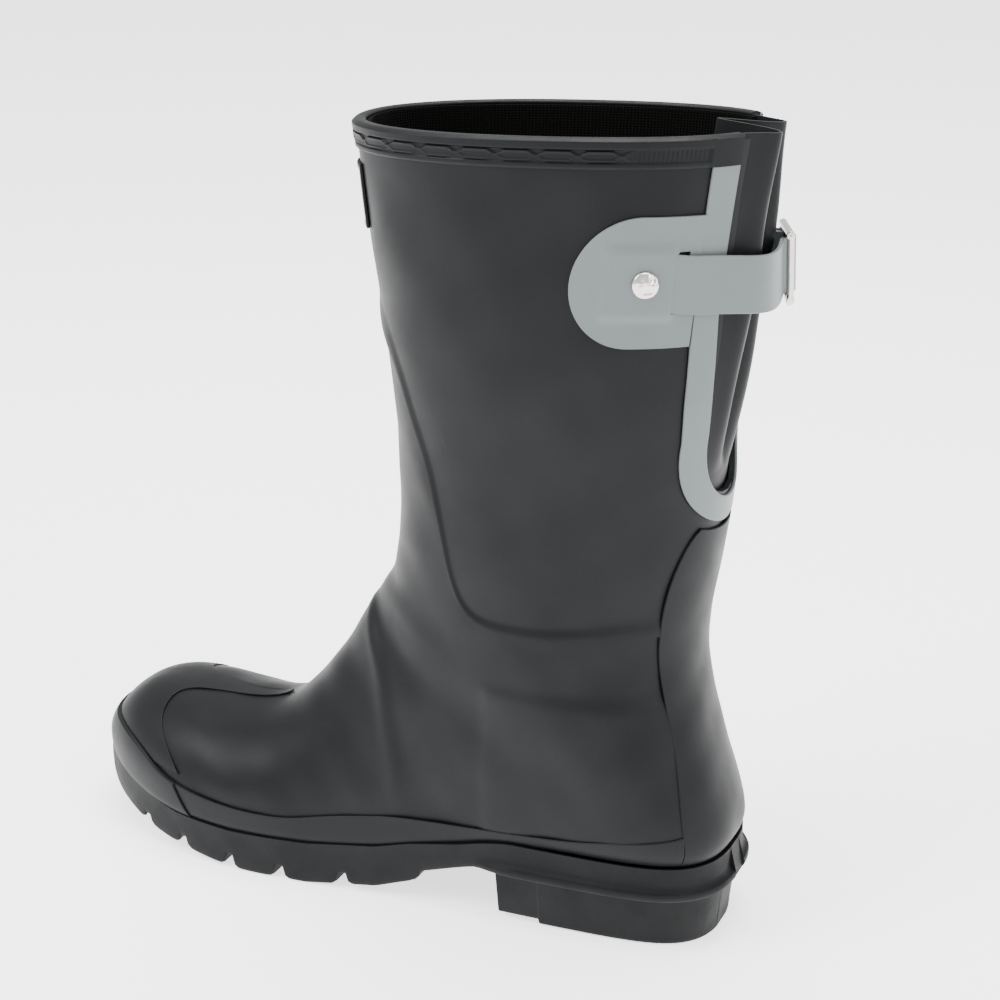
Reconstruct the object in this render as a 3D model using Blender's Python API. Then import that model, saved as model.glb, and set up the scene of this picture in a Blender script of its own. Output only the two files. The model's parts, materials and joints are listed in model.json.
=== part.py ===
"""Rubber rain boot with a pleated rear gusset, a strap and a three-bar slide.

One boot, modelled in millimetres and written out in metres.  +Z is up, the toe
points along -Y and the wearer's left side is +X.  Z = 0 is the floor.

The outer skin of the upper is a fan of closed rings.  The first ones lie level
round the leg; from the ankle down they tilt, with their front end near the
instep and their back end running round the heel and along the sole, until they
stand upright across the toes.  A place on the skin is (u, t): u counts rings
from the rim to the toe tip, and t runs round one ring, 0 at the back or sole
and +1 or -1 at the front, positive on the wearer's left.  Every layer is a
sheet at its own distance from that skin.
"""
import math

import bmesh
import bpy
import numpy as np
from mathutils import Matrix, Vector
from mathutils.bvhtree import BVHTree

# ---------------------------------------------------------------- dimensions
MM = 0.001
BOOT_HEIGHT = 285.0
ORIGIN_X = -3.514         # the middle of the boot's box, in the design's own millimetres
ORIGIN_Y = -0.82

# Rings: front end (y, z), back end (y, z), half width, centre x, where the ring
# is widest (0 front, 1 back), squareness of the front half and of the back half.
RINGS = np.array([
    (-13.5, 285.0, 129.0, 285.0, 45.5, 0.0, 0.50, 2.2, 2.4),
    (-9.0, 245.0, 125.5, 245.0, 45.5, 0.0, 0.50, 2.2, 2.4),
    (-3.5, 205.0, 123.3, 205.0, 45.0, 0.0, 0.50, 2.2, 2.35),
    (-0.5, 170.0, 120.5, 170.0, 41.5, 0.0, 0.50, 2.2, 2.3),
    (-0.5, 143.0, 118.0, 143.0, 40.0, 1.0, 0.50, 2.1, 2.2),
    (-1.5, 134.0, 114.0, 114.0, 38.5, 2.0, 0.52, 2.0, 2.2),
    (-3.0, 127.0, 115.0, 94.0, 37.5, 3.0, 0.55, 2.0, 2.3),
    (-4.5, 121.0, 120.0, 74.0, 37.0, 4.0, 0.58, 2.0, 2.4),
    (-7.0, 116.0, 126.5, 54.0, 36.5, 5.0, 0.60, 2.0, 2.5),
    (-9.5, 111.0, 129.5, 38.0, 36.0, 5.0, 0.62, 2.0, 2.8),
    (-12.0, 106.0, 118.0, 30.5, 35.5, 5.0, 0.66, 2.0, 3.6),
    (-15.0, 101.0, 85.0, 30.0, 35.0, 5.0, 0.72, 2.0, 4.6),
    (-19.0, 94.0, 52.0, 27.0, 34.5, 4.0, 0.76, 2.0, 5.0),
    (-25.0, 85.0, 20.0, 19.0, 35.0, 3.0, 0.78, 2.0, 5.0),
    (-35.0, 73.0, -10.0, 13.0, 37.0, 3.0, 0.77, 2.0, 4.6),
    (-47.0, 60.5, -38.0, 11.0, 39.5, 3.0, 0.76, 2.0, 4.0),
    (-63.0, 54.5, -62.0, 11.0, 40.5, 2.0, 0.75, 2.1, 4.0),
    (-82.0, 53.5, -83.0, 12.0, 39.5, 0.0, 0.74, 2.2, 4.0),
    (-100.0, 53.0, -101.0, 14.0, 36.0, -3.0, 0.72, 2.2, 4.0),
    (-115.0, 50.5, -115.0, 17.0, 30.0, -5.0, 0.68, 2.2, 3.6),
    (-127.0, 43.0, -126.0, 21.0, 20.5, -6.0, 0.62, 2.2, 3.0),
    (-132.5, 34.0, -132.0, 27.0, 10.0, -6.0, 0.55, 2.1, 2.6),
    (-134.0, 31.0, -134.0, 30.0, 1.0, -6.0, 0.50, 2.0, 2.0),
])
TIP = len(RINGS) - 1.0
LEVEL_RINGS = 5                  # how many of the first rings lie level
COLUMNS = 16                     # columns of a sheet on each side of the boot

# How the leg stands: from POSE_FROM up to the rim it turns, tips and rises a little.
POSE_FROM = 110.0
POSE_POWER = 1.3
POSE_CENTRE = (1.0, 55.0)
LEG_TWIST = 0.19                 # radians at the rim, the back of the leg towards -X
LEG_TILT = (0.03, 0.022)         # rise of the rim per millimetre of x and of y
LEG_SHIFT = (-2.3, 3.0)          # sideways and upward move of the rim

# Layers, as distances out of the skin
OVERLAY = (1.6, 0.5)             # trims, patches and counters on the outside
RUBBER = (0.0, -1.8)             # the two main rubber panels
BACKING = (-2.3, -2.9)           # stiff pieces bonded behind the rubber
LINING = (-4.6, -5.4)
INNER_STACK = 2.4                # height under the foot for board and shank

# Leg panel and gusset
PANEL_TOP = 283.3
OPENING_HALF = 23.0              # half width of the rear opening, along the skin
OPENING_CENTRE = 186.0           # centre height of the opening's round end
TRIM_HALF = 34.5                 # the same two for the trim's outer edge
TRIM_CENTRE = 189.0
BAND_BOTTOM = 274.0

GUSSET_THICK = 0.9
GUSSET_DEPTH = -3.35             # the glued flange's middle, behind the panel
FLANGE_SCALE = 20.0
PLEAT_FROM = 172.0               # the pleat grows from here up, over PLEAT_RUN
PLEAT_RUN = 75.0
PLEAT_RIDGE = 5.0
PLEAT_VALLEY = 18.0

# Strap and buckle
STRAP_WIDTH = 19.6
STRAP_THICK = 1.3
STRAP_UNDER = 1.3                # distance of a strap end's middle from the skin
PATCH_Z_LEFT = 240.5
PATCH_Z_RIGHT = 236.5
PATCH_HALF = 21.5                # half height of a strap patch
PATCH_REACH = 82.0               # how far its round end is from the rear centre
PATCH_RAISE = 2.3                # how far the patch rises over the strap's end
SLOT = (39.5, 46.0)              # the slot that the strap comes out of
STRAP_END = 69.0
RIVET_REACH = 55.0
RIVET_R = 2.0
HOLE_R = 2.35
BUCKLE_X, BUCKLE_Y = -22.0, 132.0
BUCKLE_TURN = math.radians(16.0)  # how far round the rear the buckle faces
BUCKLE_LONG = 24.0
BUCKLE_TALL = 25.4
BAR_R = 1.35

# Sole
FLANGE_BOTTOM = 21.0
HEEL_FRONT = 50.0
HEEL_GROOVES = ((66.0, 69.5), (84.0, 87.0), (101.0, 104.0))
LUG_GAP = 4.0
LUG_ENDS = (-130.0, -100.5, -80.5, -58.5, -37.0, -11.5, 22.0)
SOLE_OVERHANG = 2.2
SOLE_Y = (-134.0, -120.0, -102.0, -83.0, -58.0, -26.0, 2.0, 16.0, 43.0, 56.0, 140.0)
RAND_TOP_Y = (-134.0, -110.0, -100.0, -86.0, -62.0, -37.0, -21.0, -2.0, 13.0, 45.0, 80.0, 97.0, 130.0)
RAND_TOP_Z = (39.5, 37.5, 33.5, 28.5, 25.5, 25.5, 28.5, 32.0, 34.0, 36.5, 40.0, 43.0, 48.0)
RAND_SPLIT = -82.0               # where the toe rand meets the side strips
RAND_SLANT = 8.0
RAND_START = 54.0                # degrees round the heel where the side strips begin


# ------------------------------------------------------------------ materials
def material(name, colour, roughness, metallic=0.0):
    mat = bpy.data.materials.new(name)
    mat.use_nodes = True
    shader = mat.node_tree.nodes["Principled BSDF"]
    shader.inputs["Base Color"].default_value = (*colour, 1.0)
    shader.inputs["Roughness"].default_value = roughness
    shader.inputs["Metallic"].default_value = metallic
    return mat


# ----------------------------------------------------------------- boot skin
def spline_rows(table, places):
    """Natural cubic spline through the rows of a table."""
    count = len(table)
    matrix = np.eye(count)
    right = np.zeros(table.shape)
    for i in range(1, count - 1):
        matrix[i, i - 1:i + 2] = (1.0, 4.0, 1.0)
        right[i] = 6.0 * (table[i + 1] - 2.0 * table[i] + table[i - 1])
    bend = np.linalg.solve(matrix, right)
    low = np.clip(np.floor(places).astype(int), 0, count - 2)
    f = (places - low)[:, None]
    g = 1.0 - f
    return (table[low] * g + table[low + 1] * f
            + (g ** 3 - g) * bend[low] / 6.0 + (f ** 3 - f) * bend[low + 1] / 6.0)


def make_skin(per_ring=12, per_side=120):
    """Sample the skin: points, outward normals, and the half length of each ring."""
    u_values = np.linspace(0.0, TIP, int(per_ring * TIP) + 1)
    t_values = np.linspace(0.0, 1.0, per_side + 1)
    turn = np.linspace(0.0, math.pi, 241)
    cos, sin = np.cos(turn), np.abs(np.sin(turn))
    points, lengths = [], []
    for fy, fz, by, bz, half, cx, mid, front, back in spline_rows(RINGS, u_values):
        power = 2.0 / np.where(cos > 0.0, back, front)
        spread = np.abs(cos) ** power
        along = np.where(cos > 0.0, mid + (1.0 - mid) * spread, mid - mid * spread)
        ring = np.stack([half * sin ** power, fy + along * (by - fy), fz + along * (bz - fz)], 1)
        run = np.concatenate([[0.0], np.cumsum(np.linalg.norm(np.diff(ring, axis=0), axis=1))])
        half_ring = np.stack([np.interp(t_values, run / run[-1], ring[:, k]) for k in range(3)], 1)
        left = half_ring + (cx, 0.0, 0.0)
        other = half_ring[:0:-1] * (-1.0, 1.0, 1.0) + (cx, 0.0, 0.0)
        points.append(np.vstack([other, left]))
        lengths.append(run[-1])
    points = np.array(points)
    across = np.gradient(points, axis=1)
    across[:, 0] = across[:, -1] = (points[:, 1] - points[:, -2]) / 2.0
    normals = np.cross(across, np.gradient(points, axis=0))
    normals /= np.maximum(np.linalg.norm(normals, axis=2, keepdims=True), 1e-9)
    normals[-1] = (0.0, -1.0, 0.0)
    return points, normals, np.array(lengths)


SKIN, NORMALS, HALF_LENGTHS = make_skin()


def sample(grid, u, t):
    rows, cols = grid.shape[0] - 1, grid.shape[1] - 1
    a = min(max(u / TIP, 0.0), 1.0) * rows
    b = ((t + 1.0) % 2.0) / 2.0 * cols
    i, j = min(int(a), rows - 1), min(int(b), cols - 1)
    fa, fb = a - i, b - j
    return ((grid[i, j] * (1 - fb) + grid[i, j + 1] * fb) * (1 - fa)
            + (grid[i + 1, j] * (1 - fb) + grid[i + 1, j + 1] * fb) * fa)


def skin(u, t, out=0.0):
    """The point at (u, t), out millimetres outside the skin."""
    normal = sample(NORMALS, u, t)
    return sample(SKIN, u, t) + normal / np.linalg.norm(normal) * out


def ring_at_height(z):
    """u of the level ring at height z on the leg."""
    heights = spline_rows(RINGS, np.linspace(0.0, LEVEL_RINGS - 1.0, 200))[:, 1]
    return float(np.interp(-z, -heights, np.linspace(0.0, LEVEL_RINGS - 1.0, 200)))


def leg_place(z, reach):
    """(u, t) at height z on the leg, reach millimetres round from the rear centre."""
    u = ring_at_height(z)
    half_length = np.interp(u, np.linspace(0.0, TIP, len(HALF_LENGTHS)), HALF_LENGTHS)
    return u, reach / half_length


def bent(places, values, at):
    return float(np.interp(at, places, values))


def smooth_line(places, values, at):
    """A smooth curve through a few (place, value) pairs."""
    places = np.asarray(places, float)
    steps = np.linspace(0.0, len(places) - 1.0, 20 * (len(places) - 1) + 1)
    table = spline_rows(np.stack([places, np.asarray(values, float)], 1), steps)
    return float(np.interp(at, table[:, 0], table[:, 1]))


def posed(p):
    """Where a point of the upright design is on the standing boot."""
    x, y, z = p[0] - POSE_CENTRE[0], p[1] - POSE_CENTRE[1], p[2]
    share = max(0.0, (z - POSE_FROM) / (BOOT_HEIGHT - POSE_FROM)) ** POSE_POWER
    cos, sin = math.cos(LEG_TWIST * share), math.sin(LEG_TWIST * share)
    x, y = x * cos - y * sin, x * sin + y * cos
    rise = (x * LEG_TILT[0] + y * LEG_TILT[1] + LEG_SHIFT[1]) * share
    return Vector((POSE_CENTRE[0] + x + LEG_SHIFT[0] * share, POSE_CENTRE[1] + y, z + rise))


def posed_turn(p):
    """The turn that the pose gives to a stiff piece at p."""
    p = Vector(p)
    x_axis = (posed(p + Vector((1, 0, 0))) - posed(p - Vector((1, 0, 0)))).normalized()
    z_axis = (posed(p + Vector((0, 0, 1))) - posed(p - Vector((0, 0, 1)))).normalized()
    y_axis = z_axis.cross(x_axis).normalized()
    return Matrix((x_axis, y_axis, x_axis.cross(y_axis))).transposed()


# -------------------------------------------------------------- mesh builders
def finish(name, bm, mat, sharp=math.radians(40), stiff_at=None, placed=False):
    """Pose the mesh, move it to the boot's own origin and make its object.

    A piece with stiff_at keeps its shape and is only turned and moved, and a placed
    one has been posed already."""
    bmesh.ops.remove_doubles(bm, verts=bm.verts, dist=1e-4)
    bmesh.ops.recalc_face_normals(bm, faces=bm.faces)
    if stiff_at is not None:
        turn, middle = posed_turn(stiff_at), Vector(stiff_at)
    for vert in bm.verts:
        place = vert.co
        if stiff_at is not None:
            place = posed(middle) + turn @ (vert.co - middle)
        elif not placed:
            place = posed(vert.co)
        vert.co = (place - Vector((ORIGIN_X, ORIGIN_Y, 0.0))) * MM
    mesh = bpy.data.meshes.new(name)
    bm.to_mesh(mesh)
    bm.free()
    mesh.shade_smooth()
    mesh.set_sharp_from_angle(angle=sharp)
    obj = bpy.data.objects.new(name, mesh)
    bpy.context.collection.objects.link(obj)
    mesh.materials.append(mat)
    return obj


def two_sheets(name, ids, outer, inner, mat, holes=()):
    """Close the space between two matching sheets.  ids is a grid of vertex numbers,
    and holes are the (row, column) cells left open."""
    bm = bmesh.new()
    out_verts = [bm.verts.new(p) for p in outer]
    in_verts = [bm.verts.new(p) for p in inner]
    edges = {}
    for i in range(len(ids) - 1):
        for j in range(len(ids[0]) - 1):
            if (i, j) in holes:
                continue
            loop = [ids[i][j], ids[i][j + 1], ids[i + 1][j + 1], ids[i + 1][j]]
            loop = [a for k, a in enumerate(loop) if a != loop[k - 1]]
            if len(set(loop)) < 3:
                continue
            for part in ((loop[:3], [loop[0]] + loop[2:]) if len(loop) == 4 else (loop,)):
                bm.faces.new([out_verts[a] for a in part])
                bm.faces.new([in_verts[a] for a in reversed(part)])
            for a, b in zip(loop, loop[1:] + loop[:1]):
                edges[(a, b)] = edges.get((a, b), 0) + 1
    for a, b in edges:
        if (b, a) not in edges:
            bm.faces.new([out_verts[b], out_verts[a], in_verts[a], in_verts[b]])
    for vert in [v for v in bm.verts if not v.link_faces]:
        bm.verts.remove(vert)
    return finish(name, bm, mat)


def shell(name, rows, layer, mat, drop=0.0):
    """A layer of the boot over the (u, t) places in rows.

    drop deepens the layer where the skin faces down, under the foot."""
    numbers, places, ids = {}, [], []
    for row in rows:
        line = []
        for u, t in row:
            wrapped = 1.0 if abs(abs(t) - 1.0) < 1e-6 else t
            key = (round(u, 4), round(wrapped, 5)) if u < TIP - 1e-6 else "tip"
            if key not in numbers:
                numbers[key] = len(places)
                places.append((u, wrapped))
            line.append(numbers[key])
        ids.append(line)
    sheets = []
    for depth in layer:
        sheet = []
        for u, t in places:
            down = max(0.0, -sample(NORMALS, u, t)[2])
            sheet.append(skin(u, t, depth - drop * down * down))
        sheets.append(sheet)
    return two_sheets(name, ids, sheets[0], sheets[1], mat)


def grid_solid(name, top, bottom, mat, holes=()):
    """A solid between two grids of points of the same size."""
    rows, cols = len(top), len(top[0])
    ids = [[i * cols + j for j in range(cols)] for i in range(rows)]
    flat = [p for row in top for p in row]
    return two_sheets(name, ids, flat, [p for row in bottom for p in row], mat, holes)


def around(start, stop, count):
    return [start + (stop - start) * k / count for k in range(count + 1)]


# ------------------------------------------------------------ the main panels
SEAM_T = (0.0, 0.16, 0.30, 0.48, 0.57, 0.615, 0.65, 0.69, 0.74, 0.80, 0.87, 1.0)
SEAM_U = (4.90, 4.92, 5.08, 5.52, 5.72, 5.62, 5.10, 4.05, 3.10, 2.36, 1.85, 1.55)


def seam(t):
    """u of the seam between the leg panel and the foot panel."""
    return smooth_line(SEAM_T, SEAM_U, abs(t))


def round_end(z, half, centre):
    """Half width of an upright slot with a round lower end."""
    if z >= centre:
        return half
    return math.sqrt(max(0.0, half ** 2 - (centre - z) ** 2))


def opening_edge(z):
    """t of the rear opening's edge at height z."""
    return leg_place(z, round_end(z, OPENING_HALF, OPENING_CENTRE))[1]


def side_columns(edge):
    """t values from the rear edge round the front to the other rear edge."""
    left = [edge + (1.0 - edge) * k / COLUMNS for k in range(COLUMNS + 1)]
    return left + [-t for t in reversed(left[:-1])]


OPEN_HEIGHTS = (272.0, 260.0, 247.0, 234.0, 221.0, 208.0, 197.0, 186.0, 178.0, 171.5, 167.0, 164.2)
LOW_HEIGHTS = (163.0, 154.0, 144.0)
FOOT_STEPS = 6                   # rows between the seam and the first ring below
FOOT_U = (9.0, 9.5, 10.0, 10.6, 11.4, 12.4, 13.4, 14.4, 15.3, 16.2, 17.1, 18.0, 18.8, 19.5, 20.2, 20.8,
          21.4, TIP)


def leg_rows(top):
    """Rows of the leg from the height top to the seam, with the rear opening cut out."""
    rows = []
    for z in (top,) + OPEN_HEIGHTS + LOW_HEIGHTS:
        u = ring_at_height(z)
        edge = opening_edge(z) if z > 163.5 else 0.0
        lean = 0.0 if z == top else 1.0
        rows.append([(u * (seam(t) / seam(0.0)) ** lean, t) for t in side_columns(edge)])
    for step in (0.5, 1.0):
        first = ring_at_height(LOW_HEIGHTS[-1]) / seam(0.0)
        share = first + (1.0 - first) * step
        rows.append([(share * seam(t), t) for t in side_columns(0.0)])
    return rows


def foot_rows(gap=0.0):
    """Rows of the foot from the seam to the toe tip, gap rings below the seam."""
    columns = around(-1.0, 1.0, 2 * COLUMNS)
    rows = []
    for step in range(FOOT_STEPS):
        row = []
        for t in columns:
            start = seam(t) + gap * (2.2 if 0.62 < abs(t) < 0.86 else 1.0)
            row.append((start + (FOOT_U[0] - start) * step / FOOT_STEPS, t))
        rows.append(row)
    return rows + [[(u, t) for t in columns] for u in FOOT_U]


def leg_panel(mat):
    return shell("leg_panel", leg_rows(PANEL_TOP), RUBBER, mat)


def foot_panel(mat):
    return shell("foot_panel", foot_rows(0.02), RUBBER, mat)


def lining(mat):
    """The knitted sock: a leg tube with the rear opening, carried on round the foot."""
    rows = leg_rows(PANEL_TOP - 0.5)
    half = len(rows[0]) // 2
    for row in foot_rows()[1:]:
        rows.append([row[(j + half) % (2 * half)] for j in range(2 * half)] + [row[half]])
    return shell("lining", rows, LINING, mat, drop=INNER_STACK)


def backing(name, first, last, keep, mat):
    """A stiff piece behind the rubber, on the foot's own rows and columns."""
    rows = []
    for row in foot_rows()[first:last]:
        if keep > 0.0:
            rows.append([(u, t) for u, t in row if abs(t) < keep])
        else:
            left = [(u, t) for u, t in row if t > -keep]
            rows.append(left + [(u, t) for u, t in row if -1.0 < t < keep])
    return shell(name, rows, BACKING, mat)


# --------------------------------------------------------- outside overlays
COUNTER_U = (3.55, 3.75, 4.3, 5.0, 5.9, 7.3, 8.7, 9.6)
COUNTER_T = (0.105, 0.140, 0.158, 0.158, 0.150, 0.150, 0.150, 0.135)


def heel_counter(mat):
    rows = []
    for u in (3.62, 3.8, 4.0, 4.3, 4.7, 5.2, 5.8, 6.4, 7.0, 7.6, 8.2, 8.7, 9.1, 9.5):
        edge = smooth_line(COUNTER_U, COUNTER_T, u)
        row = []
        for share in around(-1.0, 1.0, 10):
            t = share * edge
            first = 3.62 - 0.12 * share * share
            row.append((first + (u - 3.62) * (9.5 - first) / (9.5 - 3.62), t))
        rows.append(row)
    return shell("heel_counter", rows, OVERLAY, mat)


def trim_places(half, centre, count=26):
    """The U line of an edge: down the left side, round the end and up the right."""
    straight = [(BAND_BOTTOM - 0.5 - (BAND_BOTTOM - 0.5 - centre) * k / 6.0, half) for k in range(6)]
    curve = []
    for k in range(count // 2 + 1):
        angle = math.pi / 2 * k / (count // 2)
        curve.append((centre - half * math.sin(angle), half * math.cos(angle)))
    left = straight + curve
    return left + [(z, -reach) for z, reach in reversed(left[:-1])]


def gusset_trim(mat):
    inner = trim_places(OPENING_HALF + 0.2, OPENING_CENTRE)
    outer = trim_places(TRIM_HALF, TRIM_CENTRE)
    rows = []
    for share in (0.0, 0.5, 1.0):
        line = []
        for (za, ra), (zb, rb) in zip(inner, outer):
            line.append(leg_place(za + (zb - za) * share, ra + (rb - ra) * share))
        rows.append(line)
    return shell("gusset_trim", rows, OVERLAY, mat)


def binding_band(mat):
    """Strip round the rim, folded over the panel's top edge."""
    columns = side_columns(opening_edge(PANEL_TOP))
    profile = [(BAND_BOTTOM, 1.7), (BAND_BOTTOM + 5.5, 2.1), (BOOT_HEIGHT - 0.4, 1.9), (BOOT_HEIGHT, 1.2),
               (BOOT_HEIGHT, -1.6), (BOOT_HEIGHT - 1.1, -1.8), (BOOT_HEIGHT - 1.1, 0.5), (BAND_BOTTOM, 0.5)]
    bm = bmesh.new()
    loops = []
    for t in columns:
        loop = []
        for z, out in profile:
            p = skin(ring_at_height(min(z, BOOT_HEIGHT)), t, out)
            p[2] = z
            loop.append(bm.verts.new(p))
        loops.append(loop)
    for a, b in zip(loops, loops[1:]):
        for k in range(len(profile)):
            bm.faces.new([a[k - 1], a[k], b[k], b[k - 1]])
    bm.faces.new(loops[0])
    bm.faces.new(list(reversed(loops[-1])))
    return finish("binding_band", bm, mat)


def front_patch(mat):
    """Small raised rectangle low under the band, a little to the left of the shin."""
    rows = []
    for z in around(BAND_BOTTOM - 3.0, BAND_BOTTOM - 25.0, 3):
        u = ring_at_height(z)
        rows.append([(u, t) for t in around(0.90, 1.10, 6)])
    return shell("front_patch", rows, (1.3, 0.35), mat)


# ----------------------------------------------------------- gusset at rear
def gusset_point(z, share):
    """Point of the pleated sheet.  share is -1..1 between the opening's edges and
    passes them by the width of the glued flange."""
    reach = max(round_end(z, OPENING_HALF, OPENING_CENTRE), 6.0)
    inside = min(abs(share), 1.0)
    flange = (abs(share) - inside) * FLANGE_SCALE
    u, t = leg_place(z, math.copysign(inside * reach + flange, share))
    rise = min(1.0, max(0.0, (z - PLEAT_FROM) / PLEAT_RUN)) ** 0.8
    ridge = math.exp(-((inside - 0.50) / 0.26) ** 2)
    valley = math.exp(-(inside / 0.24) ** 2)
    edge = 1.0 - inside ** 6
    lift = GUSSET_DEPTH + (1.6 + PLEAT_RIDGE * ridge - PLEAT_VALLEY * valley) * edge * rise
    return skin(u, t, lift)


def thicken(points, thick):
    """Two sheets half the thickness either side of a grid of points, facing out."""
    grid = np.array(points)
    normals = np.cross(np.gradient(grid, axis=1), np.gradient(grid, axis=0))
    normals /= np.linalg.norm(normals, axis=2, keepdims=True)
    if (normals[..., 1].mean()) < 0.0:
        normals = -normals
    return grid + normals * thick / 2.0, grid - normals * thick / 2.0


def gusset(mat):
    heights = (283.0, 270.0, 255.0, 240.0, 225.0, 210.0, 198.0, 186.0, 178.0, 172.0, 167.0, 160.0)
    half = (1.45, 1.22, 1.0, 0.88, 0.76, 0.63, 0.5, 0.38, 0.28, 0.18, 0.09)
    shares = half + (0.0,) + tuple(-s for s in reversed(half))
    outer, inner = thicken([[gusset_point(z, s) for s in shares] for z in heights], GUSSET_THICK)
    return grid_solid("gusset", outer, inner, mat)


# ------------------------------------------------------------ strap and buckle
def strap_patch(side, centre, mat):
    """A D shaped patch with a round outer end, raised over the strap's end, with a
    slot that the strap comes out of."""
    slot_half = STRAP_WIDTH / 2 + 1.3
    heights = [-slot_half, -slot_half * 0.5, 0.0, slot_half * 0.5, slot_half]
    heights = [-PATCH_HALF, -20.6, -18.2, -14.5] + heights + [14.5, 18.2, 20.6, PATCH_HALF]
    shares = (0.25, 0.5, 0.75, 1.0)
    places, sheets = [], ([], [])
    for h in heights:
        bulge = PATCH_REACH - PATCH_HALF + math.sqrt(max(0.0, PATCH_HALF ** 2 - h ** 2))
        reaches = [TRIM_HALF + 0.5, SLOT[0], SLOT[1]] + [SLOT[1] + (bulge - SLOT[1]) * s for s in shares]
        rows = ([], [])
        for k, reach in enumerate(reaches):
            u, t = leg_place(centre + h, reach)
            over = abs(h) < slot_half + 0.1 and 2 <= k <= 5
            for row, depth in zip(rows, OVERLAY):
                row.append(skin(u, t * side, depth + (PATCH_RAISE if over else 0.0)))
        sheets[0].append(rows[0])
        sheets[1].append(rows[1])
    low = heights.index(-slot_half)
    holes = [(low + k, 1) for k in range(4)]
    name = "strap_patch_left" if side > 0 else "strap_patch_right"
    return grid_solid(name, sheets[0], sheets[1], mat, holes)


def buckle_frame():
    """Middle of the slide, its outward direction and the strap's direction, in plan."""
    out = np.array((-math.sin(BUCKLE_TURN), math.cos(BUCKLE_TURN), 0.0))
    along = np.array((-out[1], out[0], 0.0))
    return np.array((BUCKLE_X, BUCKLE_Y, PATCH_Z_RIGHT)), out, along


def curve_through(points, count):
    table = np.array([tuple(p) for p in points], float)
    runs = np.concatenate([[0.0], np.cumsum(np.linalg.norm(np.diff(table, axis=0), axis=1))])
    fine = spline_rows(table, np.linspace(0.0, len(table) - 1.0, 12 * len(table)))
    steps = np.concatenate([[0.0], np.cumsum(np.linalg.norm(np.diff(fine, axis=0), axis=1))])
    even = np.linspace(0.0, steps[-1], count)
    return np.stack([np.interp(even, steps, fine[:, k]) for k in range(3)], 1)


def loft(bm, rings):
    """A closed solid through rings that have the same number of points."""
    loops = [[bm.verts.new(Vector(p)) for p in ring] for ring in rings]
    for a, b in zip(loops, loops[1:]):
        for k in range(len(a)):
            bm.faces.new([a[k - 1], a[k], b[k], b[k - 1]])
    bm.faces.new(list(reversed(loops[0])))
    bm.faces.new(loops[-1])


def ribbon(name, line, width, thick, mat):
    """A flat strap along a line of (x, y, z) points, standing on edge.  It is posed
    here, so that it stays parallel to the slide's bars."""
    up = posed_turn(far_bar()) @ Vector((0.0, 0.0, 1.0))
    line = [posed(p) for p in line]
    rings = []
    for k, p in enumerate(line):
        ahead = line[min(k + 1, len(line) - 1)] - line[max(k - 1, 0)]
        side = up.cross(ahead).normalized() * (thick / 2)
        rings.append([p + side * s + up * (width * h) for s, h in
                      ((1, -0.5), (1, 0.0), (1, 0.5), (-1, 0.5), (-1, 0.0), (-1, -0.5))])
    bm = bmesh.new()
    loft(bm, rings)
    return finish(name, bm, mat, placed=True)


def over_skin(z, reach, lift):
    side = math.copysign(1.0, reach)
    u, t = leg_place(z, abs(reach))
    return skin(u, t * side, lift)


def strap_line():
    """Route of the strap: out of the left patch, over the gusset, through the slide
    and back inside the anchor."""
    middle, out, along = buckle_frame()
    z = PATCH_Z_LEFT
    start = [over_skin(z, reach, STRAP_UNDER) for reach in (STRAP_END, 64.0, 56.0, 48.0)]
    start += [over_skin(z - drop, reach, lift) for drop, reach, lift in
              ((0.1, 46.5, 1.35), (0.3, 43.0, 2.1), (0.7, 38.5, 2.9), (1.2, 31.0, 3.2), (2.2, 21.0, 5.4),
               (3.2, 9.0, 8.3))]
    through = []
    for run, lift in ((-10.7, -3.1), (-5.8, -1.7), (-2.5, 1.5), (0.0, 2.5), (2.5, 1.5), (4.8, -2.0),
                      (7.2, -4.7)):
        p = middle + along * run + out * lift
        through.append((p[0], p[1], PATCH_Z_RIGHT))
    tail = [over_skin(PATCH_Z_RIGHT, -30.5, 3.6), over_skin(PATCH_Z_RIGHT, -33.0, 3.6)]
    return curve_through(start + through + tail, 52)


def strap(mat):
    return ribbon("strap", strap_line(), STRAP_WIDTH, STRAP_THICK, mat)


def far_bar():
    middle, _, along = buckle_frame()
    return middle + along * (BUCKLE_LONG / 2 - BAR_R)


def anchor_direction():
    """Unit vectors along the anchor towards the bar, and out of its outer face."""
    start = over_skin(PATCH_Z_RIGHT, -42.0, 3.2)
    along = far_bar() - start
    along /= np.linalg.norm(along)
    return along, np.array((-along[1], along[0], 0.0))


def anchor_loop(mat):
    """The anchor: out of the right patch, round the slide's far bar and back over itself."""
    along, out = anchor_direction()
    bar = far_bar()
    radius = BAR_R + 0.6 + STRAP_THICK / 2
    ply = STRAP_THICK / 2 + 0.25
    line = [over_skin(PATCH_Z_RIGHT, -reach, lift) for reach, lift in
            ((STRAP_END, STRAP_UNDER), (64.0, STRAP_UNDER), (56.0, STRAP_UNDER), (48.0, STRAP_UNDER),
             (46.3, 1.35))]
    line += [bar - along * run - out * lift for run, lift in ((9.6, ply), (6.4, ply), (4.2, ply * 1.6))]
    for k in range(7):
        angle = math.radians(-112.0 + 224.0 * k / 6)
        line.append(bar + (along * math.cos(angle) + out * math.sin(angle)) * radius)
    line += [bar - along * run + out * lift for run, lift in ((4.2, ply * 1.6), (6.4, ply), (10.6, ply))]
    return ribbon("anchor_loop", curve_through(line, 40), STRAP_WIDTH - 1.4, STRAP_THICK, mat)


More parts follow.
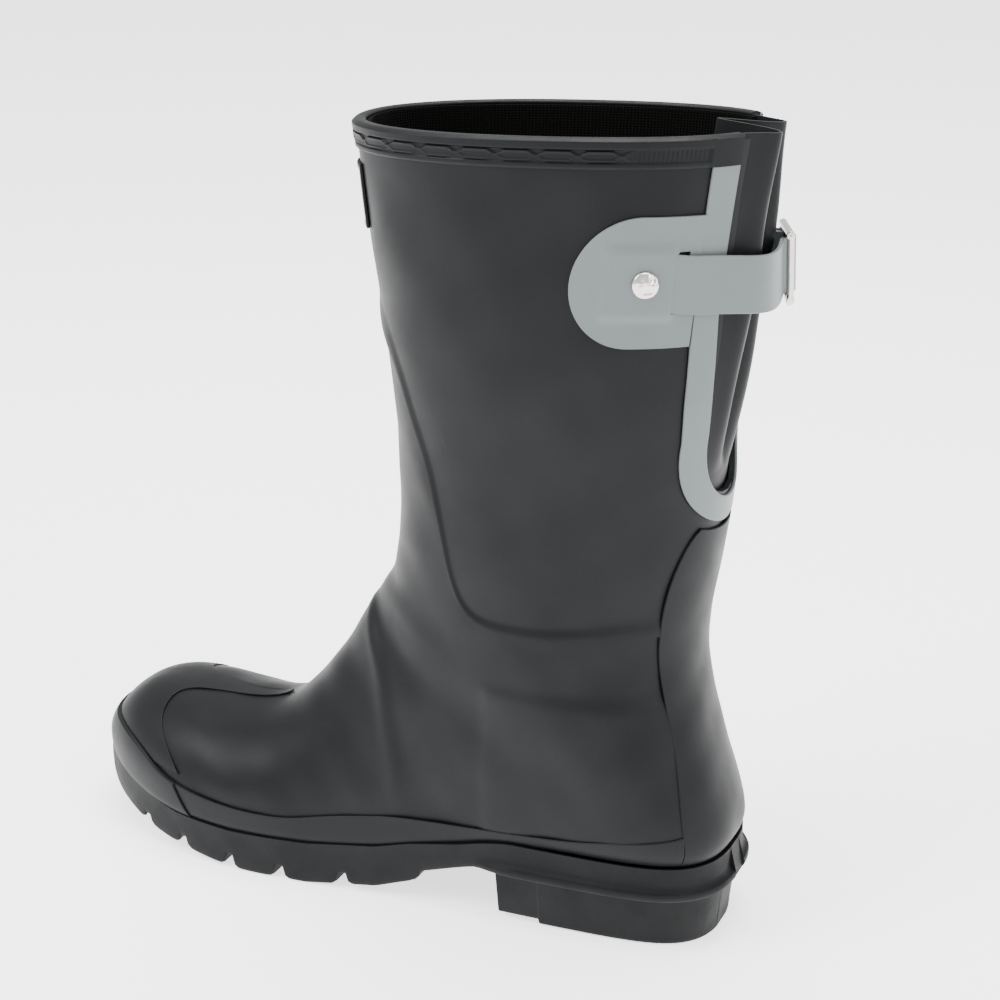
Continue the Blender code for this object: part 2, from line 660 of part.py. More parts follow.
def round_bar(bm, points, radius, sides=10):
    """A closed bar of round section through the given points."""
    rings = []
    for k, p in enumerate(points):
        a = Vector(points[max(k - 1, 0)])
        b = Vector(points[min(k + 1, len(points) - 1)])
        turn = (b - a).normalized().to_track_quat("Z", "Y")
        angles = [2 * math.pi * s / sides for s in range(sides)]
        rings.append([Vector(p) + turn @ Vector((math.cos(q), math.sin(q), 0.0)) * radius for q in angles])
    loft(bm, rings)


def hide_tool(obj):
    obj.hide_render = True
    obj.display_type = "WIRE"


def boolean(obj, tool, operation):
    change = obj.modifiers.new(operation.lower() + "_" + tool.name, "BOOLEAN")
    change.operation = operation
    change.solver = "EXACT"
    change.object = tool
    hide_tool(tool)


def buckle(mat):
    """Three-bar slide: two end bars and a middle bar between two rails, one casting."""
    middle, _, along = buckle_frame()
    stiff = tuple(far_bar())
    half_long = BUCKLE_LONG / 2 - BAR_R
    rise = np.array((0.0, 0.0, BUCKLE_TALL / 2 - BAR_R))
    reach = along * (half_long + BAR_R * 0.95)
    bars = [(middle + along * run - rise, middle + along * run + rise)
            for run in (-half_long, 0.0, half_long)]
    rails = [(middle - reach + rise * side, middle + reach + rise * side) for side in (-1, 1)]
    pieces = []
    for k, (points, radius) in enumerate([(p, BAR_R * 1.1) for p in rails] + [(p, BAR_R) for p in bars]):
        bm = bmesh.new()
        round_bar(bm, points, radius)
        pieces.append(finish("buckle" if k == 0 else "buckle_tool_%d" % k, bm, mat, stiff_at=stiff))
    for tool in pieces[1:]:
        boolean(pieces[0], tool, "UNION")
    return pieces[0]


# ---------------------------------------------------------------- fasteners
def turned(name, centre, normal, rings, mat, sides=14, hole=0.0):
    """A turned piece from rings of (distance along the normal, radius).  With a
    hole it is a washer, otherwise its ends are closed."""
    turn = Vector(normal).to_track_quat("Z", "Y")
    profile = list(rings)
    if hole > 0.0:
        profile += [(height, hole) for height, _ in reversed(rings)]
    bm = bmesh.new()
    loops = []
    for height, radius in profile:
        loop = []
        for s in range(sides):
            angle = 2 * math.pi * s / sides
            spot = Vector((radius * math.cos(angle), radius * math.sin(angle), height))
            loop.append(bm.verts.new(Vector(centre) + turn @ spot))
        loops.append(loop)
    pairs = list(zip(loops, loops[1:])) + ([(loops[-1], loops[0])] if hole > 0.0 else [])
    for a, b in pairs:
        for s in range(sides):
            bm.faces.new([a[s - 1], a[s], b[s], b[s - 1]])
    if hole == 0.0:
        bm.faces.new(list(reversed(loops[0])))
        bm.faces.new(loops[-1])
    return finish(name, bm, mat, stiff_at=tuple(centre))


def rivet_seat(side, z):
    u, t = leg_place(z, RIVET_REACH)
    return skin(u, t * side), sample(NORMALS, u, t * side)


def rivet(side, z, mat):
    """Dome rivet through the patch, the strap's end and the leg panel."""
    place, normal = rivet_seat(side, z)
    seat = OVERLAY[0] + PATCH_RAISE + 0.2
    rings = [(-2.95, RIVET_R), (seat, RIVET_R), (seat, 4.5), (seat + 0.5, 4.5), (seat + 1.2, 3.9),
             (seat + 1.9, 2.5), (seat + 2.1, 1.0)]
    return turned("rivet_left" if side > 0 else "rivet_right", place, normal, rings, mat)


def washer(side, z, mat):
    """Flat ring behind the panel, under the rivet's end."""
    place, normal = rivet_seat(side, z)
    rings = [(-2.85, 5.0), (-2.25, 5.0)]
    return turned("rivet_washer_left" if side > 0 else "rivet_washer_right", place, normal, rings, mat,
                  hole=HOLE_R)


def rivet_hole(side, z, targets):
    place, normal = rivet_seat(side, z)
    tool = turned("rivet_hole_left" if side > 0 else "rivet_hole_right", place, normal,
                  [(-4.5, HOLE_R), (6.0, HOLE_R)], None, sides=12)
    for target in targets:
        boolean(target, tool, "DIFFERENCE")


def loop_rivet(target, mat):
    """Small rivet that closes the anchor's loop."""
    along, out = anchor_direction()
    place = far_bar() - along * 7.9
    tool = turned("loop_rivet_hole", place, out, [(-4.0, 1.5), (4.0, 1.5)], None, sides=10)
    boolean(target, tool, "DIFFERENCE")
    rings = [(-2.4, 2.0), (-1.9, 2.4), (-1.9, 1.2), (1.9, 1.2), (1.9, 2.8), (2.4, 2.4), (2.7, 1.2)]
    return turned("loop_rivet", place, out, rings, mat, sides=12)


# --------------------------------------------------------------------- soles
def skin_tree():
    rows, cols = SKIN.shape[0], SKIN.shape[1]
    verts = [Vector(p) for p in SKIN.reshape(-1, 3)]
    faces = []
    for i in range(rows - 1):
        for j in range(cols - 1):
            a = i * cols + j
            faces.append((a, a + 1, a + cols + 1, a + cols))
    return BVHTree.FromPolygons(verts, faces)


TREE = skin_tree()
HEEL_FAN_Y = 90.0
TOE_FAN_Y = -90.0


def spine_x(y):
    return bent((-134.0, -115.0, -100.0, -83.0, -62.0, -10.0, 50.0, 90.0),
                (-6.0, -5.0, -3.0, 0.0, 2.0, 3.0, 4.0, 5.0), y)


def heel_ray(side, degrees):
    """A level ray of the heel's fan, from straight back round to one side."""
    angle = math.radians(degrees)
    return (spine_x(HEEL_FAN_Y), HEEL_FAN_Y), (side * math.sin(angle), math.cos(angle))


def toe_ray(side, degrees):
    angle = math.radians(degrees)
    return (spine_x(TOE_FAN_Y), TOE_FAN_Y), (side * math.sin(angle), -math.cos(angle))


def side_ray(side, y):
    return (spine_x(y), y), (float(side), 0.0)


def wall_point(ray, z, out):
    """Where a level ray at height z leaves the skin, moved out along the skin's plan normal."""
    (ox, oy), (dx, dy) = ray
    place, normal = TREE.ray_cast(Vector((ox, oy, z)), Vector((dx, dy, 0.0)))[:2]
    flat = Vector((normal.x, normal.y, 0.0)).normalized()
    if flat.dot(Vector((dx, dy, 0.0))) < 0.0:
        flat.negate()
    return np.array((place.x + flat.x * out, place.y + flat.y * out, z))


def plan_edge(height, grow, count=14):
    """Left and right plan outlines as (y, x) tables, at height(y)."""
    edges = {}
    for side in (1, -1):
        rays = [heel_ray(side, 90.0 * k / count) for k in range(count)]
        rays += [side_ray(side, y) for y in around(HEEL_FAN_Y, TOE_FAN_Y, 30)]
        rays += [toe_ray(side, 90.0 * (1 - k / count)) for k in range(1, count + 1)]
        line = []
        for ray in rays:
            p = wall_point(ray, height(ray[0][1] + 40.0 * ray[1][1]), grow)
            line.append((p[1], p[0]))
        edges[side] = np.array(sorted(line))
    return edges


def edge_x(edges, side, y):
    return float(np.interp(y, edges[side][:, 0], edges[side][:, 1]))


def rand_low(y):
    """Height of the line where the rand meets the sole."""
    return bent(SOLE_Y, (27.0, 23.5, 19.5, 16.5, 15.5, 16.5, 20.0, 24.0, 29.5, 30.4, 30.4), y)


def rand_high(y):
    """Height of the rand's top edge."""
    return smooth_line(RAND_TOP_Y, RAND_TOP_Z, y)


def plate_low(y):
    """Underside of the sole plate between the lugs."""
    return bent(SOLE_Y, (20.0, 14.5, 9.5, 7.4, 5.2, 5.0, 7.6, 12.0, 21.0, 21.0, 21.0), y)


def lug_low(y):
    return bent(SOLE_Y, (17.0, 11.0, 6.0, 3.4, 0.0, 0.0, 3.4, 8.5, 20.0, 21.0, 21.0), y)


def rand_sheets(stations, layer):
    """Top-to-bottom rows of a rand piece at its stations, once for each layer depth."""
    sheets = []
    for out in layer:
        sheet = []
        for station in stations:
            row = []
            for share in (0.0, 0.35, 0.7, 1.0):
                ray = station(share)
                y = wall_point(ray, 33.0, 0.0)[1]
                high = rand_high(y) + (rand_low(y) + 0.4 - rand_high(y)) * share
                row.append(wall_point(ray, high, out))
            sheet.append(row)
        sheets.append(sheet)
    return sheets


def side_station(side, y):
    """A station on the side whose line leans where the two rand pieces meet."""
    near = max(0.0, 1.0 - abs(y - RAND_SPLIT) / 14.0)
    return lambda share: side_ray(side, y + RAND_SLANT * (share - 0.5) * near)


def rand_side(side, mat):
    """One side's rand strip, from the heel counter to the toe rand."""
    stations = []
    for k in range(7):
        angle = RAND_START + (90.0 - RAND_START) * k / 6
        stations.append(lambda share, a=angle: heel_ray(side, a))
    for y in around(HEEL_FAN_Y - 9.0, RAND_SPLIT + 0.4, 17):
        stations.append(side_station(side, y))
    outer, inner = rand_sheets(stations, (2.5, 1.2))
    return grid_solid("rand_left" if side > 0 else "rand_right", outer, inner, mat)


def toe_rand(mat):
    """The thicker strip round the toe."""
    stations = []
    for side in (1, -1):
        half = [side_station(side, RAND_SPLIT - 0.4), side_station(side, RAND_SPLIT - 3.0)]
        for k in range(9):
            half.append(lambda share, a=90.0 - 10.0 * k, s=side: toe_ray(s, a))
        if side > 0:
            stations += half
        else:
            stations += [half[k] for k in reversed(range(len(half)))]
    stations.insert(11, lambda share: toe_ray(1, 0.0))
    outer, inner = rand_sheets(stations, (2.9, 1.1))
    return grid_solid("toe_rand", outer, inner, mat)


def toe_cap(mat):
    """Thin cap over the toes, down to just above the toe rand."""
    rows = []
    for t in around(0.545, 1.455, 20):
        flank = abs(t - 1.0)
        first = smooth_line((0.0, 0.07, 0.15, 0.30, 0.37, 0.47), (17.3, 17.5, 18.05, 18.0, 17.65, 17.05), flank)
        wrapped = t if t <= 1.0 else t - 2.0
        last = first
        while last < 21.0:
            p = skin(last + 0.02, wrapped)
            if p[2] < rand_high(p[1]) + 0.6:
                break
            last += 0.02
        last = max(last, first + 0.06)
        rows.append([(first + (last - first) * share, wrapped) for share in around(0.0, 1.0, 6)])
    return shell("toe_cap", rows, (1.5, 0.8), mat)


def lug_places():
    """(front, back) of each lug row, growing towards the waist."""
    half = LUG_GAP / 2.0
    return [(front + half, back - half) for front, back in zip(LUG_ENDS, LUG_ENDS[1:])]


def outsole(mat):
    """Sole plate with a raised edge, side lugs, middle lugs and the heel's flange."""
    edges = plan_edge(lambda y: rand_low(y) + 4.0, SOLE_OVERHANG)
    lugs = lug_places()
    rows = [-134.5, -131.0, -122.5, -117.5, -112.0, -106.5]
    for low, high in lugs:
        rows += [low - 0.5, low + 0.5, high - 0.5, high + 0.5]
    rows += [8.0, 16.0, 24.0, 32.0, 40.0, 49.0, 58.0, 74.0, 90.0, 104.0, 116.0, 125.0, 131.0, 134.5]
    ends = edges[1][0, 0] + 0.3, edges[1][-1, 0] - 0.3
    shares = (0.0, 0.03, 0.10, 0.28, 0.31, 0.47, 0.53, 0.69, 0.72, 0.90, 0.97, 1.0)
    grooves = (4, 7)
    top, bottom = [], []
    for y in sorted(rows):
        y = min(max(y, ends[0]), ends[1])
        flare = bent((40.0, 62.0), (0.0, 2.6), y)
        clear = bent((-134.0, -90.0, -60.0, 20.0, 50.0), (2.4, 2.0, 1.5, 1.8, 2.4), y)
        left, right = edge_x(edges, 1, y), edge_x(edges, -1, y)
        in_lug = any(low < y < high for low, high in lugs)
        top_row, bottom_row = [], []
        for k, share in enumerate(shares):
            x = right + (left - right) * share
            hit = TREE.ray_cast(Vector((x, y, -20.0)), Vector((0.0, 0.0, 1.0)))[0]
            cap = rand_low(y) - 0.4
            z_top = cap if hit is None else min(hit.z - clear, cap)
            z_low = lug_low(y) if in_lug and k not in grooves else plate_low(y)
            if k in (0, len(shares) - 1):
                z_low = plate_low(y) + 1.0
            top_row.append(np.array((x, y, max(z_top, z_low + 1.2))))
            bottom_row.append(np.array((x + flare * (2.0 * share - 1.0), y, z_low)))
        top.append(top_row)
        bottom.append(bottom_row)
    return grid_solid("outsole", top, bottom, mat)


def heel_block(mat):
    """Heel lift: tapered sides, a shorter front cleat and cross grooves."""
    edges = plan_edge(lambda y: 34.5, 0.0)
    back = edges[1][-1, 0] - 1.2
    ys = [HEEL_FRONT, 60.0]
    for low, high in HEEL_GROOVES:
        ys += [low, low + 0.7, high - 0.7, high]
    ys += [94.0, 111.0, 117.0, 122.0, 126.0, back]
    shares = (0.0, 0.06, 0.16, 0.17, 0.5, 0.83, 0.84, 0.94, 1.0)
    top, bottom = [], []
    for y in sorted(ys):
        left, right = edge_x(edges, 1, y), edge_x(edges, -1, y)
        middle, half = (left + right) / 2, (left - right) / 2
        groove = any(low + 0.5 < y < high - 0.5 for low, high in HEEL_GROOVES)
        squeeze = 1.0 - 0.06 * bent((HEEL_FRONT, back), (0.6, 1.0), y)
        y_low = HEEL_FRONT + (y - HEEL_FRONT) * 0.965 + 0.8
        top_row, bottom_row = [], []
        for k, share in enumerate(shares):
            z_low = 3.4 if groove and 3 <= k <= 5 else 0.0
            if y < HEEL_GROOVES[0][0] + 0.5:
                z_low = 4.2
            offset = half * (2 * share - 1)
            top_row.append(np.array((middle + offset, y, FLANGE_BOTTOM - 0.4)))
            bottom_row.append(np.array((middle + offset * squeeze, y_low, z_low)))
        top.append(top_row)
        bottom.append(bottom_row)
    return grid_solid("heel_block", top, bottom, mat)


FLOOR = spline_rows(RINGS, np.linspace(10.0, TIP, 121))[::-1, 2:4]


def floor_z(y):
    """Height of the skin's underside along the foot."""
    return float(np.interp(y, FLOOR[:, 0], FLOOR[:, 1]))


def inner_slab(name, grow, low, high, mat, steps=20, ends=1.0):
    """A flat piece that follows the footbed: low and high above the skin's underside."""
    edges = plan_edge(lambda y: floor_z(y) + 9.0, grow)
    front = max(edges[1][0, 0], edges[-1][0, 0]) + ends
    back = min(edges[1][-1, 0], edges[-1][-1, 0]) - ends
    top, bottom = [], []
    for k in range(steps + 1):
        y = front + (back - front) * (0.5 - 0.5 * math.cos(math.pi * k / steps))
        left, right = edge_x(edges, 1, y), edge_x(edges, -1, y)
        row = [right + (left - right) * s for s in around(0.0, 1.0, 4)]
        top.append([np.array((x, y, floor_z(y) + high)) for x in row])
        bottom.append([np.array((x, y, floor_z(y) + low)) for x in row])
    return grid_solid(name, top, bottom, mat)


def shank(mat):
    """Ribbed steel strip that stiffens the waist."""
    top, bottom = [], []
    for y in around(-25.0, 100.0, 14):
        half = bent((-25.0, 10.0, 60.0, 100.0), (9.0, 7.0, 7.0, 9.0), y)
        for sheet, level in ((top, 3.1), (bottom, 2.5)):
            sheet.append([np.array((spine_x(y) + half * s, y, floor_z(y) + level + rib))
                          for s, rib in ((-1.0, 0.0), (-0.35, 0.5), (0.35, 0.5), (1.0, 0.0))])
    return grid_solid("shank", top, bottom, mat)


# ------------------------------------------------------------------- assembly
def clear_scene():
    for obj in list(bpy.data.objects):
        bpy.data.objects.remove(obj, do_unlink=True)


def build():
    clear_scene()
    rubber = material("black_rubber", (0.035, 0.037, 0.040), 0.5)
    tread = material("tread_rubber", (0.022, 0.023, 0.025), 0.6)
    grey = material("grey_rubber", (0.30, 0.35, 0.35), 0.45)
    nickel = material("nickel", (0.70, 0.69, 0.66), 0.25, 1.0)
    knit = material("knit", (0.028, 0.024, 0.022), 0.9)
    board = material("board", (0.42, 0.34, 0.24), 0.8)
    steel = material("spring_steel", (0.45, 0.46, 0.48), 0.35, 1.0)
    foam = material("foam", (0.06, 0.06, 0.065), 0.9)

    panel = leg_panel(rubber)
    foot_panel(rubber)
    lining(knit)
    backing("heel_stiffener", 1, FOOT_STEPS + 2, 0.34, board)
    backing("instep_reinforcement", FOOT_STEPS + 2, FOOT_STEPS + 7, -0.5, board)
    backing("toe_puff", FOOT_STEPS + 11, FOOT_STEPS + 16, -0.45, board)
    heel_counter(rubber)
    toe_cap(rubber)
    toe_rand(rubber)
    gusset_trim(grey)
    binding_band(rubber)
    front_patch(rubber)
    gusset(rubber)
    belt = strap(grey)
    anchor = anchor_loop(grey)
    for side, z, end in ((1, PATCH_Z_LEFT, belt), (-1, PATCH_Z_RIGHT, anchor)):
        rand_side(side, rubber)
        patch = strap_patch(side, z, grey)
        rivet(side, z, nickel)
        washer(side, z, steel)
        rivet_hole(side, z, (panel, patch, end))
    loop_rivet(anchor, nickel)
    buckle(nickel)
    outsole(tread)
    heel_block(tread)
    shank(steel)
    inner_slab("insole_board", -11.0, 4.2, 6.0, board)
    inner_slab("sockliner", -11.0, 9.0, 12.8, foam)


build()
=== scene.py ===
# %% [markdown]
# # A rubber rain boot
# The boot is dipped rubber over a knitted sock, with trims glued on the outside.
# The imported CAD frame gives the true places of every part. This lesson rebuilds
# each visible part at a finer grain, and gives each one its own material.

# %% Load the frame
import math
import random

import bmesh
import bpy
import numpy as np
from mathutils import Matrix, Vector
from mathutils.bvhtree import BVHTree
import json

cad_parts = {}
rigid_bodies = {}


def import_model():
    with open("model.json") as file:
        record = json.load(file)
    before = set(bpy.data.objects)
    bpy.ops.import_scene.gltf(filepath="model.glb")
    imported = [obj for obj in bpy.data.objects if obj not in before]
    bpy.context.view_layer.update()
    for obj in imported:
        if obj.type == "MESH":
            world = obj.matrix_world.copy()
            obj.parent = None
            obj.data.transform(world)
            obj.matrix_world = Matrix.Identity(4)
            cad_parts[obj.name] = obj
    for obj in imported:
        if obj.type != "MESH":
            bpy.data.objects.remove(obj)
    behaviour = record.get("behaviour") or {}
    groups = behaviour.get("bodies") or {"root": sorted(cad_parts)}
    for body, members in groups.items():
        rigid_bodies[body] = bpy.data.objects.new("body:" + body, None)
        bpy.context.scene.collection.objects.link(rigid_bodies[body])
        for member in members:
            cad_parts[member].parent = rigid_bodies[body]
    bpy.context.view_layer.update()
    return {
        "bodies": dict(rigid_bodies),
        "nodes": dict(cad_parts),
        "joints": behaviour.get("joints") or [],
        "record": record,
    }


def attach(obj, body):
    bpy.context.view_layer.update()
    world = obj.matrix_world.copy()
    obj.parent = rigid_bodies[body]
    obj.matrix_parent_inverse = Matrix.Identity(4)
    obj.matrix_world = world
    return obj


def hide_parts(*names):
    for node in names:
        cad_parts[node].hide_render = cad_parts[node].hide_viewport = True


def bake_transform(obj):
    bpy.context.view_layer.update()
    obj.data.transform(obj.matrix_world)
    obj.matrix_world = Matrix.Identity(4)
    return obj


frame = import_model()

# %% [markdown]
# ## The last
# A boot is built round a last, a foot-shaped form. Here the last is a fan of closed
# rings: level round the leg, then tilting until they stand upright across the toes.
# A place on the skin is (u, t): u counts rings from the rim to the toe tip, and t
# runs round a ring, 0 at the back, 1 or -1 at the front, positive on the left.
# A table of rings with a spline through it suits a smooth organic form better
# than pulling at a primitive, because every layer can share it.

# %% Rings of the last
# Front end (y, z), back end (y, z), half width, centre x, widest place, squareness.
RINGS = np.array([
    (-13.5, 285.0, 129.0, 285.0, 45.5, 0.0, 0.50, 2.2, 2.4),
    (-9.0, 245.0, 125.5, 245.0, 45.5, 0.0, 0.50, 2.2, 2.4),
    (-3.5, 205.0, 123.3, 205.0, 45.0, 0.0, 0.50, 2.2, 2.35),
    (-0.5, 170.0, 120.5, 170.0, 41.5, 0.0, 0.50, 2.2, 2.3),
    (-0.5, 143.0, 118.0, 143.0, 40.0, 1.0, 0.50, 2.1, 2.2),
    (-1.5, 134.0, 114.0, 114.0, 38.5, 2.0, 0.52, 2.0, 2.2),
    (-3.0, 127.0, 115.0, 94.0, 37.5, 3.0, 0.55, 2.0, 2.3),
    (-4.5, 121.0, 120.0, 74.0, 37.0, 4.0, 0.58, 2.0, 2.4),
    (-7.0, 116.0, 126.5, 54.0, 36.5, 5.0, 0.60, 2.0, 2.5),
    (-9.5, 111.0, 129.5, 38.0, 36.0, 5.0, 0.62, 2.0, 2.8),
    (-12.0, 106.0, 118.0, 30.5, 35.5, 5.0, 0.66, 2.0, 3.6),
    (-15.0, 101.0, 85.0, 30.0, 35.0, 5.0, 0.72, 2.0, 4.6),
    (-19.0, 94.0, 52.0, 27.0, 34.5, 4.0, 0.76, 2.0, 5.0),
    (-25.0, 85.0, 20.0, 19.0, 35.0, 3.0, 0.78, 2.0, 5.0),
    (-35.0, 73.0, -10.0, 13.0, 37.0, 3.0, 0.77, 2.0, 4.6),
    (-47.0, 60.5, -38.0, 11.0, 39.5, 3.0, 0.76, 2.0, 4.0),
    (-63.0, 54.5, -62.0, 11.0, 40.5, 2.0, 0.75, 2.1, 4.0),
    (-82.0, 53.5, -83.0, 12.0, 39.5, 0.0, 0.74, 2.2, 4.0),
    (-100.0, 53.0, -101.0, 14.0, 36.0, -3.0, 0.72, 2.2, 4.0),
    (-115.0, 50.5, -115.0, 17.0, 30.0, -5.0, 0.68, 2.2, 3.6),
    (-127.0, 43.0, -126.0, 21.0, 20.5, -6.0, 0.62, 2.2, 3.0),
    (-132.5, 34.0, -132.0, 27.0, 10.0, -6.0, 0.55, 2.1, 2.6),
    (-134.0, 31.0, -134.0, 30.0, 1.0, -6.0, 0.50, 2.0, 2.0),
])
TIP = len(RINGS) - 1.0
MM = 0.001
BOOT_HEIGHT = 285.0
ORIGIN = np.array((-3.514, -0.82, 0.0))
print("rings", len(RINGS))

# %% The skin as a fine grid
def spline_rows(table, places):
    """Natural cubic spline through the rows of a table."""
    count = len(table)
    matrix = np.eye(count)
    right = np.zeros(table.shape)
    for i in range(1, count - 1):
        matrix[i, i - 1:i + 2] = (1.0, 4.0, 1.0)
        right[i] = 6.0 * (table[i + 1] - 2.0 * table[i] + table[i - 1])
    bend = np.linalg.solve(matrix, right)
    low = np.clip(np.floor(places).astype(int), 0, count - 2)
    f = (places - low)[:, None]
    g = 1.0 - f
    return (table[low] * g + table[low + 1] * f
            + (g ** 3 - g) * bend[low] / 6.0 + (f ** 3 - f) * bend[low + 1] / 6.0)


def make_skin(per_ring=12, per_side=120):
    """Sample the skin: points, outward normals, and the half length of each ring."""
    u_values = np.linspace(0.0, TIP, int(per_ring * TIP) + 1)
    t_values = np.linspace(0.0, 1.0, per_side + 1)
    turn = np.linspace(0.0, math.pi, 241)
    cos, sin = np.cos(turn), np.abs(np.sin(turn))
    points, lengths = [], []
    for fy, fz, by, bz, half, cx, mid, front, back in spline_rows(RINGS, u_values):
        power = 2.0 / np.where(cos > 0.0, back, front)
        spread = np.abs(cos) ** power
        along = np.where(cos > 0.0, mid + (1.0 - mid) * spread, mid - mid * spread)
        ring = np.stack([half * sin ** power, fy + along * (by - fy), fz + along * (bz - fz)], 1)
        run = np.concatenate([[0.0], np.cumsum(np.linalg.norm(np.diff(ring, axis=0), axis=1))])
        half_ring = np.stack([np.interp(t_values, run / run[-1], ring[:, k]) for k in range(3)], 1)
        left = half_ring + (cx, 0.0, 0.0)
        other = half_ring[:0:-1] * (-1.0, 1.0, 1.0) + (cx, 0.0, 0.0)
        points.append(np.vstack([other, left]))
        lengths.append(run[-1])
    points = np.array(points)
    across = np.gradient(points, axis=1)
    across[:, 0] = across[:, -1] = (points[:, 1] - points[:, -2]) / 2.0
    normals = np.cross(across, np.gradient(points, axis=0))
    normals /= np.maximum(np.linalg.norm(normals, axis=2, keepdims=True), 1e-9)
    normals[-1] = (0.0, -1.0, 0.0)
    return points, normals, np.array(lengths)


SKIN, NORMALS, HALF_LENGTHS = make_skin()
print("skin grid", SKIN.shape)

# %% [markdown]
# ## Reading the skin
# The helpers below turn whole grids of (u, t) into points at once. `stand` then
# gives the leg its slight twist and tip, as the real boot stands, and moves the
# design to the frame's origin, in metres.

# %% Points on the skin
def grid_at(grid, u, t):
    rows, cols = grid.shape[0] - 1, grid.shape[1] - 1
    a = np.clip(np.asarray(u, float) / TIP, 0.0, 1.0) * rows
    b = ((np.asarray(t, float) + 1.0) % 2.0) / 2.0 * cols
    i = np.minimum(a.astype(int), rows - 1)
    j = np.minimum(b.astype(int), cols - 1)
    fa, fb = (a - i)[..., None], (b - j)[..., None]
    return ((grid[i, j] * (1 - fb) + grid[i, j + 1] * fb) * (1 - fa)
            + (grid[i + 1, j] * (1 - fb) + grid[i + 1, j + 1] * fb) * fa)


def skin(u, t, out=0.0):
    """Points out millimetres outside the skin."""
    normal = grid_at(NORMALS, u, t)
    normal /= np.linalg.norm(normal, axis=-1, keepdims=True)
    return grid_at(SKIN, u, t) + normal * np.asarray(out, float)[..., None]


RIM_U = np.linspace(0.0, 4.0, 400)
RIM_Z = spline_rows(RINGS, RIM_U)[:, 1]


def ring_at_height(z):
    return np.interp(-np.asarray(z, float), -RIM_Z, RIM_U)


def half_length(u):
    return np.interp(u, np.linspace(0.0, TIP, len(HALF_LENGTHS)), HALF_LENGTHS)


def leg_place(z, reach):
    """(u, t) at height z on the leg, reach millimetres round from the rear centre."""
    u = ring_at_height(z)
    return u, np.asarray(reach, float) / half_length(u)


def curve(places, values, at):
    """A smooth curve through a few (place, value) pairs."""
    places = np.asarray(places, float)
    steps = np.linspace(0.0, len(places) - 1.0, 20 * (len(places) - 1) + 1)
    table = spline_rows(np.stack([places, np.asarray(values, float)], 1), steps)
    return np.interp(at, table[:, 0], table[:, 1])


def smooth(at, start, stop):
    """0 before start, 1 after stop, with a soft ramp between."""
    s = np.clip((np.asarray(at, float) - start) / (stop - start), 0.0, 1.0)
    return s * s * (3.0 - 2.0 * s)


# %% How the leg stands
POSE_FROM, POSE_POWER = 110.0, 1.3
POSE_CENTRE = np.array((1.0, 55.0))
LEG_TWIST, LEG_TILT, LEG_SHIFT = 0.19, (0.03, 0.022), (-2.3, 3.0)


def stand(points):
    """Design millimetres to metres in the frame."""
    p = np.array(points, float)
    x, y, z = p[..., 0] - POSE_CENTRE[0], p[..., 1] - POSE_CENTRE[1], p[..., 2]
    share = np.maximum(0.0, (z - POSE_FROM) / (BOOT_HEIGHT - POSE_FROM)) ** POSE_POWER
    cos, sin = np.cos(LEG_TWIST * share), np.sin(LEG_TWIST * share)
    x, y = x * cos - y * sin, x * sin + y * cos
    rise = (x * LEG_TILT[0] + y * LEG_TILT[1] + LEG_SHIFT[1]) * share
    stood = np.stack([POSE_CENTRE[0] + x + LEG_SHIFT[0] * share, POSE_CENTRE[1] + y, z + rise], -1)
    return (stood - ORIGIN) * MM


def stiff_turn(point):
    """The turn and the place that the standing leg gives a stiff piece at a point."""
    p = np.array(point, float)
    ax = stand(p + (1, 0, 0)) - stand(p - (1, 0, 0))
    az = stand(p + (0, 0, 1)) - stand(p - (0, 0, 1))
    ax, az = ax / np.linalg.norm(ax), az / np.linalg.norm(az)
    ay = np.cross(az, ax)
    ay /= np.linalg.norm(ay)
    return np.stack([ax, ay, np.cross(ax, ay)], 1), stand(p)


print("rim height", round(float(stand(skin(0.0, 0.5))[2]), 4))

# %% [markdown]
# ## A layer of rubber
# Every moulded panel is the space between two sheets at their own distances from
# the skin. `layer` makes both sheets and the wall round their edges, and keeps a
# UV map in metres, so that a pattern can follow the rubber. A Bevel modifier then
# rounds the cut edges, as a knife-cut rubber edge is never sharp.

# %% Building a layer
def deselect():
    for obj in bpy.context.selected_objects:
        obj.select_set(False)


def apply_modifiers(obj):
    deselect()
    obj.select_set(True)
    bpy.context.view_layer.objects.active = obj
    for modifier in list(obj.modifiers):
        bpy.ops.object.modifier_apply(modifier=modifier.name)


def bevel(obj, width, segments=2, angle=42.0):
    change = obj.modifiers.new("rounded_edges", "BEVEL")
    change.width = width * MM
    change.segments = segments
    change.limit_method = "ANGLE"
    change.angle_limit = math.radians(angle)
    change.harden_normals = False
    apply_modifiers(obj)


def settle(name, bm, smooth_angle=42.0):
    """Weld, face outwards, make the object and shade it."""
    bmesh.ops.remove_doubles(bm, verts=bm.verts, dist=2e-6)
    bmesh.ops.dissolve_degenerate(bm, edges=bm.edges, dist=1e-6)
    bmesh.ops.recalc_face_normals(bm, faces=bm.faces)
    mesh = bpy.data.meshes.new(name)
    bm.to_mesh(mesh)
    bm.free()
    mesh.shade_smooth()
    mesh.set_sharp_from_angle(angle=math.radians(smooth_angle))
    obj = bpy.data.objects.new(name, mesh)
    bpy.context.collection.objects.link(obj)
    return obj


